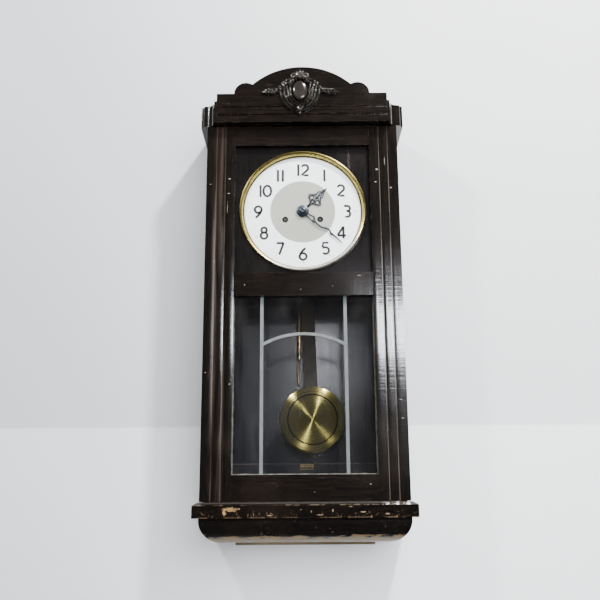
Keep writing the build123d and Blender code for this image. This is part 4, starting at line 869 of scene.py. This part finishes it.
HOUR_HUB = ((3.3, 12.35), (8.2, 12.35), (8.2, 13.25), (3.3, 13.25))
MINUTE_HUB = ((1.7, 7.5), (3.6, 7.35), (4.4, 7.7), (4.6, 8.6), (5.6, 9.2), (7.6, 9.5), (9.3, 10),
              (10, 10.7), (10, 11.5), (1.7, 11.6))


def make_hour_hand(material):
    """Pierced hour hand: a scrolled quatrefoil with side points and a spear tip."""
    builder = bmesh.new()
    line = hand_pen(builder, HOUR_ANGLE, (12.35, 12.85), 5)
    for side in BOTH_SIDES:
        for points, widths in HOUR_HAND_SIDE:
            line([(along, side * across) for along, across in points], widths)
        line(arc((27.6, side * 6.4), 3.5, 0, 345, 24), 1.5, True)
    for points, widths in HOUR_HAND_MIDDLE:
        line(points, widths)
    line(arc((23.2, 0), 2.5, 0, 345, 20), 1.1, True)
    line(arc((41.4, 0), 2.3, 0, 345, 20), 1.2, True)
    hub(builder, HOUR_HUB)
    piece = add_piece("hour_hand_pierced", builder, material, "hour")
    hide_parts("hour_hand")


def make_minute_hand(material):
    """Serpentine minute hand: two strands that join and wave down to a straight tip."""
    builder = bmesh.new()
    line = hand_pen(builder, MINUTE_ANGLE, (11, 11.5), 6)
    for points, widths in MINUTE_HAND:
        line(points, widths)
    hub(builder, MINUTE_HUB)
    piece = add_piece("minute_hand_serpentine", builder, material, "centre")
    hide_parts("minute_hand")


# ---- carved ornament ----
ORNAMENT, CREST_FRONT, IN_CREST = (-3, 674), -15, -0.3


def carve_point(x, up, rise):
    """A point on the crest: x and up from the cartouche's centre, rise in front of the board."""
    return at(ORNAMENT[0] + x, CREST_FRONT - rise, ORNAMENT[1] + up)


def frond(builder, spine, width, rise, foot=0, ribs=((0, 0.42),), rows=10, columns=8, notches=0):
    """A pointed, crowned leaf along a curved spine of (x, up) points, sunk along its ribs."""
    line = smooth_line(spine, max(3, rows // (len(spine) - 1)))
    rims = []
    for index, point in enumerate(line):
        t = index / (len(line) - 1)
        along = heading(line, index)
        side = Vector((-along.y, along.x))
        half = width / 2 * (0.3 + 0.7 * math.sin(math.pi * min(1, 0.15 + 0.85 * t)))
        half *= 1 + notches * math.sin(2 * math.pi * 4.5 * t)
        half = max(0.15, half * min(1, 4 * (1 - t) + 0.05))
        arch = rise * (0.55 + 0.45 * math.sin(math.pi * t) + 0.25 * t)
        upper, lower = [], []
        for column in range(columns + 1):
            across = 2 * column / columns - 1
            crown = 1 - 0.62 * across * across
            for place, sunk in ribs:
                crown -= sunk * math.exp(-((across - place) / 0.16) ** 2)
            spot = Vector(point) + side * (half * across)
            lift = foot + max(0.25, arch * crown)
            upper.append(builder.verts.new(carve_point(*spot, lift)))
            lower.append(builder.verts.new(carve_point(*spot, IN_CREST)))
        rims.append(upper + lower[::-1])
    skin(builder, rims, capped=False)
    for rim in (rims[0], rims[-1]):
        for k in range(columns):
            builder.faces.new((rim[k], rim[k + 1], rim[-2 - k], rim[-1 - k]))


def leaf(builder, base, tip, width, rise, curl=0, foot=0):
    """A small leaf from base to tip, bowed sideways by curl."""
    middle = ((base[0] + tip[0]) / 2, (base[1] + tip[1]) / 2)
    along = Vector((tip[0] - base[0], tip[1] - base[1])).normalized()
    middle = (middle[0] - along.y * curl, middle[1] + along.x * curl)
    frond(builder, [base, middle, tip], width, rise, foot, rows=8, columns=6)


def scroll(builder, points, radii, sides=10):
    """A tapering round stem through (x, up, rise) points."""
    path = smooth_line(points, 6)
    rims = []
    for index, point in enumerate(path):
        along = heading(path, index)
        side = along.cross(Vector((0, 0, 1))).normalized()
        out = side.cross(along).normalized()
        share = index / (len(path) - 1)
        radius = radii[0] + (radii[1] - radii[0]) * share
        rims.append(ring(builder, sides, lambda c, s: carve_point(
            *(Vector(point) + side * (radius * c) + out * (radius * s)))))
    skin(builder, rims)


def boss(builder, centre, radii, rise, base=0, rings=8, sides=32, flat=1):
    """A domed oval boss with its foot on the board."""
    rims = []
    for index in range(rings):
        quarter = 0.5 * math.pi * (index / rings)
        size, height = math.cos(quarter), base + rise * math.sin(quarter) ** flat
        rims.append(ring(builder, sides, lambda c, s: carve_point(
            centre[0] + radii[0] * size * c, centre[1] + radii[1] * size * s, height)))
    skin(builder, rims, capped=False)
    tip = builder.verts.new(carve_point(*centre, base + rise))
    for k in range(sides):
        builder.faces.new((rims[-1][k], rims[-1][(k + 1) % sides], tip))
    builder.faces.new(rims[0][::-1])


def mirrored(side, points):
    """The same points, with x turned over for the left side."""
    return [(side * x, *rest) for x, *rest in points]


TWO_RIBS = ((-0.34, 0.62), (0.34, 0.62))
SWEPT_LEAVES = (  # spine for the right half, width, rise, foot
    (((5.5, -33.5), (13, -30.5), (22, -23), (28.5, -12), (31.5, 0), (33.5, 7)), 4.4, 5, 0),
    (((4.5, -29), (12, -25.5), (20, -17.5), (25, -6), (26.3, 6), (29.5, 14)), 4.8, 6.2, 0),
    (((3.8, -24), (10, -20.5), (16, -13.5), (19.6, -4), (20.6, 7), (24.5, 17)), 4.6, 6.6, 0.2),
    (((3.4, -19.5), (8.8, -16.5), (13.4, -10.5), (15.8, -2), (16, 8), (19, 19)), 3.4, 6.6, 0.6),
    (((7.5, 27), (13.5, 24), (20, 22), (25.5, 23)), 4.6, 6.2, 0.2),
    (((9, 24), (15, 18.5), (21.5, 14.5), (29, 14.5)), 4.6, 6, 0.2),
    (((21, 14), (26, 9.5), (31, 7.5), (34, 9)), 4, 5.2, 0),
    (((5.5, -35), (4.2, -30), (6.6, -25)), 3, 6.4, 0.4),
)
TIP_CURLS = ((33, 8, 1), (28.4, 14.6, 1.15), (24.2, 18, 0.95))  # x, up, size
CROWN_CURL = ((3, 29, 4.6), (8, 32.5, 5.6), (13.2, 31, 6), (13.8, 26.8, 6), (10.2, 26, 5.8),
              (9.8, 28.6, 5.6))
SPRAY_CURL = ((30, 3, 3.4), (35, 6.5, 3.8), (38.5, 3.6, 3.4), (37, 0.6, 3), (34.6, 2.2, 2.8))
PALMETTE_LEAVES = (9, 11.4, 13.4, 15, 13.4, 11.4, 9)
DROP_LEAVES = ((-48, 7.5), (-24, 9), (0, 10.4), (24, 9), (48, 7.5))  # degrees, length
SPRAY_STEM = ((39.5, 2.4), (44.5, 1.8), (50, 2.2), (55, 1.6))


def make_ornament(finish, oval_finish):
    """Cartouche: a glossy oval in swept leaves, palmette above, drop below, a spray each side."""
    oval, wreath, curls, crown, sprays, drop = (bmesh.new() for _ in range(6))
    boss(oval, (0, 3.5), (13.4, 18.6), 3, 1.2, 4, 56, 0.6)
    boss(oval, (0, 3.5), (11.8, 17), 4.6, 2.6, 14, 56, 0.55)
    for side in BOTH_SIDES:
        for spine, width, rise, foot in SWEPT_LEAVES:
            frond(wreath, mirrored(side, spine), width, rise, foot, TWO_RIBS, 20, 10, 0.2)
        for x, up, size in TIP_CURLS:
            curl = ((x - 2.4 * size, up - 3.4 * size, 4.4), (x + 0.6, up - 1.6, 5.2),
                    (x + 1.2 * size, up + 1, 5.6), (x - 0.8, up + 2.2 * size, 5.4),
                    (x - 1.8 * size, up + 0.4, 5))
            scroll(curls, mirrored(side, curl), (1.2 * size, 0.7 * size))
        scroll(curls, mirrored(side, CROWN_CURL), (1.5, 0.9))
        scroll(curls, mirrored(side, SPRAY_CURL), (1.5, 0.8))
    for index, length in enumerate(PALMETTE_LEAVES):
        angle = math.radians(90 + 24 * (index - 3))
        tip = (length * math.cos(angle) * 1.1, 27 + length * math.sin(angle))
        leaf(crown, (1.8 * math.cos(angle), 25.6), tip, 4.6, 7.2 if index == 3 else 5.8, 0, 0.4)
    boss(crown, (0, 26), (3.8, 3), 7.2, 0.5)
    for side in BOTH_SIDES:
        boss(crown, (side * 6.6, 23.4), (2.2, 2), 7, 0.5)
        boss(crown, (side * 11.6, 21.4), (2, 1.9), 6.6, 0.5)
        for index, (x, up) in enumerate(SPRAY_STEM):
            size = 7.4 - 0.6 * index
            base = (side * x, up)
            leaf(sprays, base, (side * (x + size * 0.5), up + size * 0.62), 4.8, 5.6, side * 0.6)
            leaf(sprays, base, (side * (x + size * 0.78), up - size * 0.5), 4.6, 5.4, -side * 0.6)
            boss(sprays, (side * (x + 1), up - 0.4), (2.2, 1.9), 6.6, 0.2)
        leaf(sprays, (side * 57, 1.2), (side * 64, 0.6), 4.6, 3.8)
        frond(sprays, mirrored(side, ((33, 1), (42, 0.5), (51, 0.6), (60, 0.4))), 3.6, 2.6)
    for spread, length in DROP_LEAVES:
        angle = math.radians(-90 + spread)
        tip = (length * math.cos(angle), -26.5 + length * math.sin(angle))
        leaf(drop, (0.9 * math.cos(angle), -26.5), tip, 3.8, 6, 0, 0.4)
    boss(drop, (0, -37.6), (3.2, 3.6), 5, 0.2)
    boss(drop, (0, -26), (2.6, 2.3), 7.2, 0.6)
    cabochon = add_piece("ornament_cabochon", oval, oval_finish, "case", True, level=1)
    WINDOW.light_linking.receiver_collection.objects.link(cabochon)
    pieces = [cabochon]
    for name, builder in (("ornament_wreath", wreath), ("ornament_scrolls", curls),
                          ("ornament_palmette", crown), ("ornament_sprays", sprays),
                          ("ornament_drop", drop)):
        pieces.append(add_piece(name, builder, finish, "case", True))
    for piece in pieces:
        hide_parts("crest_ornament")


# ---- putty round the glass ----
PANE_LEFT, PANE_RIGHT, PANE_LOW, PANE_HIGH = -109.3, 109.3, 61.1, 334.3
DOOR_SHOULDER, GLASS_FRONT = 8.2, 9.4


def make_putty(material):
    """Uneven fillet of dried putty where the glass meets the door's shoulders."""
    random.seed(3)
    builder = bmesh.new()
    for start, end, inward, thick in (
            ((PANE_LEFT, PANE_LOW), (PANE_LEFT, PANE_HIGH), (1, 0), 1.5),
            ((PANE_RIGHT, PANE_LOW), (PANE_RIGHT, PANE_HIGH), (-1, 0), 1.5),
            ((PANE_LEFT, PANE_LOW), (PANE_RIGHT, PANE_LOW), (0, 1), 1.7)):
        steps = int(math.dist(start, end) / 6)
        rims = []
        for step in range(steps + 1):
            t = step / steps
            x, height = start[0] + (end[0] - start[0]) * t, start[1] + (end[1] - start[1]) * t
            size = thick * (0.75 + 0.5 * random.random())
            profile = ((0, DOOR_SHOULDER), (0.35 * size, DOOR_SHOULDER + 0.15),
                       (size, GLASS_FRONT - 0.05), (size, GLASS_FRONT), (0, GLASS_FRONT))
            rims.append([builder.verts.new(at(x + inward[0] * off, depth, height + inward[1] * off))
                         for off, depth in profile])
        skin(builder, rims)
    add_piece("glass_putty", builder, material, "door")


# ---- room ----
WALL, FLOOR = 0.001, -1.6


def make_wall_material():
    """Pale wall with painted shade to the left, and a paler band below a faint line that grows
    brighter to the right as painted light; clear from behind.
    """
    s = Surface("wall")
    clouds = s.noise(1.6, EVEN, 3, 0.4)
    colour = s.mix(s.ramp(clouds, 0.3, 0.75), (0.6, 0.617, 0.64), (0.64, 0.652, 0.67))
    x, _, z = s.axes()
    # Painted shade: the wall darkens towards the left.
    side = s.ramp(x, -0.55, 0.4)
    colour = s.mix(side, s.mix(0.62, colour, (0.25, 0.27, 0.3)), colour)
    # Paler band below a faint line, its strength growing to the right as painted light.
    lower = s.ramp(z, -0.455, -0.462)
    colour = s.mix(s.times(lower, s.ramp(side, 0, 1, (0.35, 0.9))), colour, (0.8, 0.82, 0.84))
    matt = s.node("ShaderNodeBsdfDiffuse", Color=colour).outputs[0]
    clear = s.node("ShaderNodeBsdfTransparent").outputs[0]
    facing = s.node("ShaderNodeNewGeometry").outputs["Backfacing"]
    return s.finish(s.blend(facing, matt, clear))


def make_stage():
    """The wall a hair behind the clock, and a floor well below it."""
    material = make_wall_material()
    for name, corners in (
            ("wall", ((-4, WALL, FLOOR), (4, WALL, FLOOR), (4, WALL, 3), (-4, WALL, 3))),
            ("floor", ((-4, -5, FLOOR), (4, -5, FLOOR), (4, 3, FLOOR), (-4, 3, FLOOR)))):
        mesh = bpy.data.meshes.new(name)
        mesh.from_pydata([Vector(corner) for corner in corners], [], [(0, 1, 2, 3)])
        mesh.materials.append(material)
        plane = new_object(name, mesh)
        plane.visible_shadow = name == "floor"
        plane.visible_glossy = name == "wall"


make_camera()
WINDOW = make_lights()
make_room()
make_stage()
paint_case()
blued_steel = paint_metal()
ink = painted("dial_ink", (0.006, 0.0064, 0.0075), (0.012, 0.0125, 0.014), 0.45, 200)
faint_ink = painted("dial_ink_faint", (0.3, 0.31, 0.32), (0.42, 0.43, 0.44), 0.5, 200)
make_figures(ink)
make_minute_dots(ink, faint_ink)
make_hour_hand(blued_steel)
make_minute_hand(blued_steel)
make_ornament(make_ornament_finish(), make_cabochon_finish())
make_putty(painted("putty", (0.072, 0.07, 0.062), (0.026, 0.024, 0.021), 0.7, 140, 0.3))

bpy.context.view_layer.update()
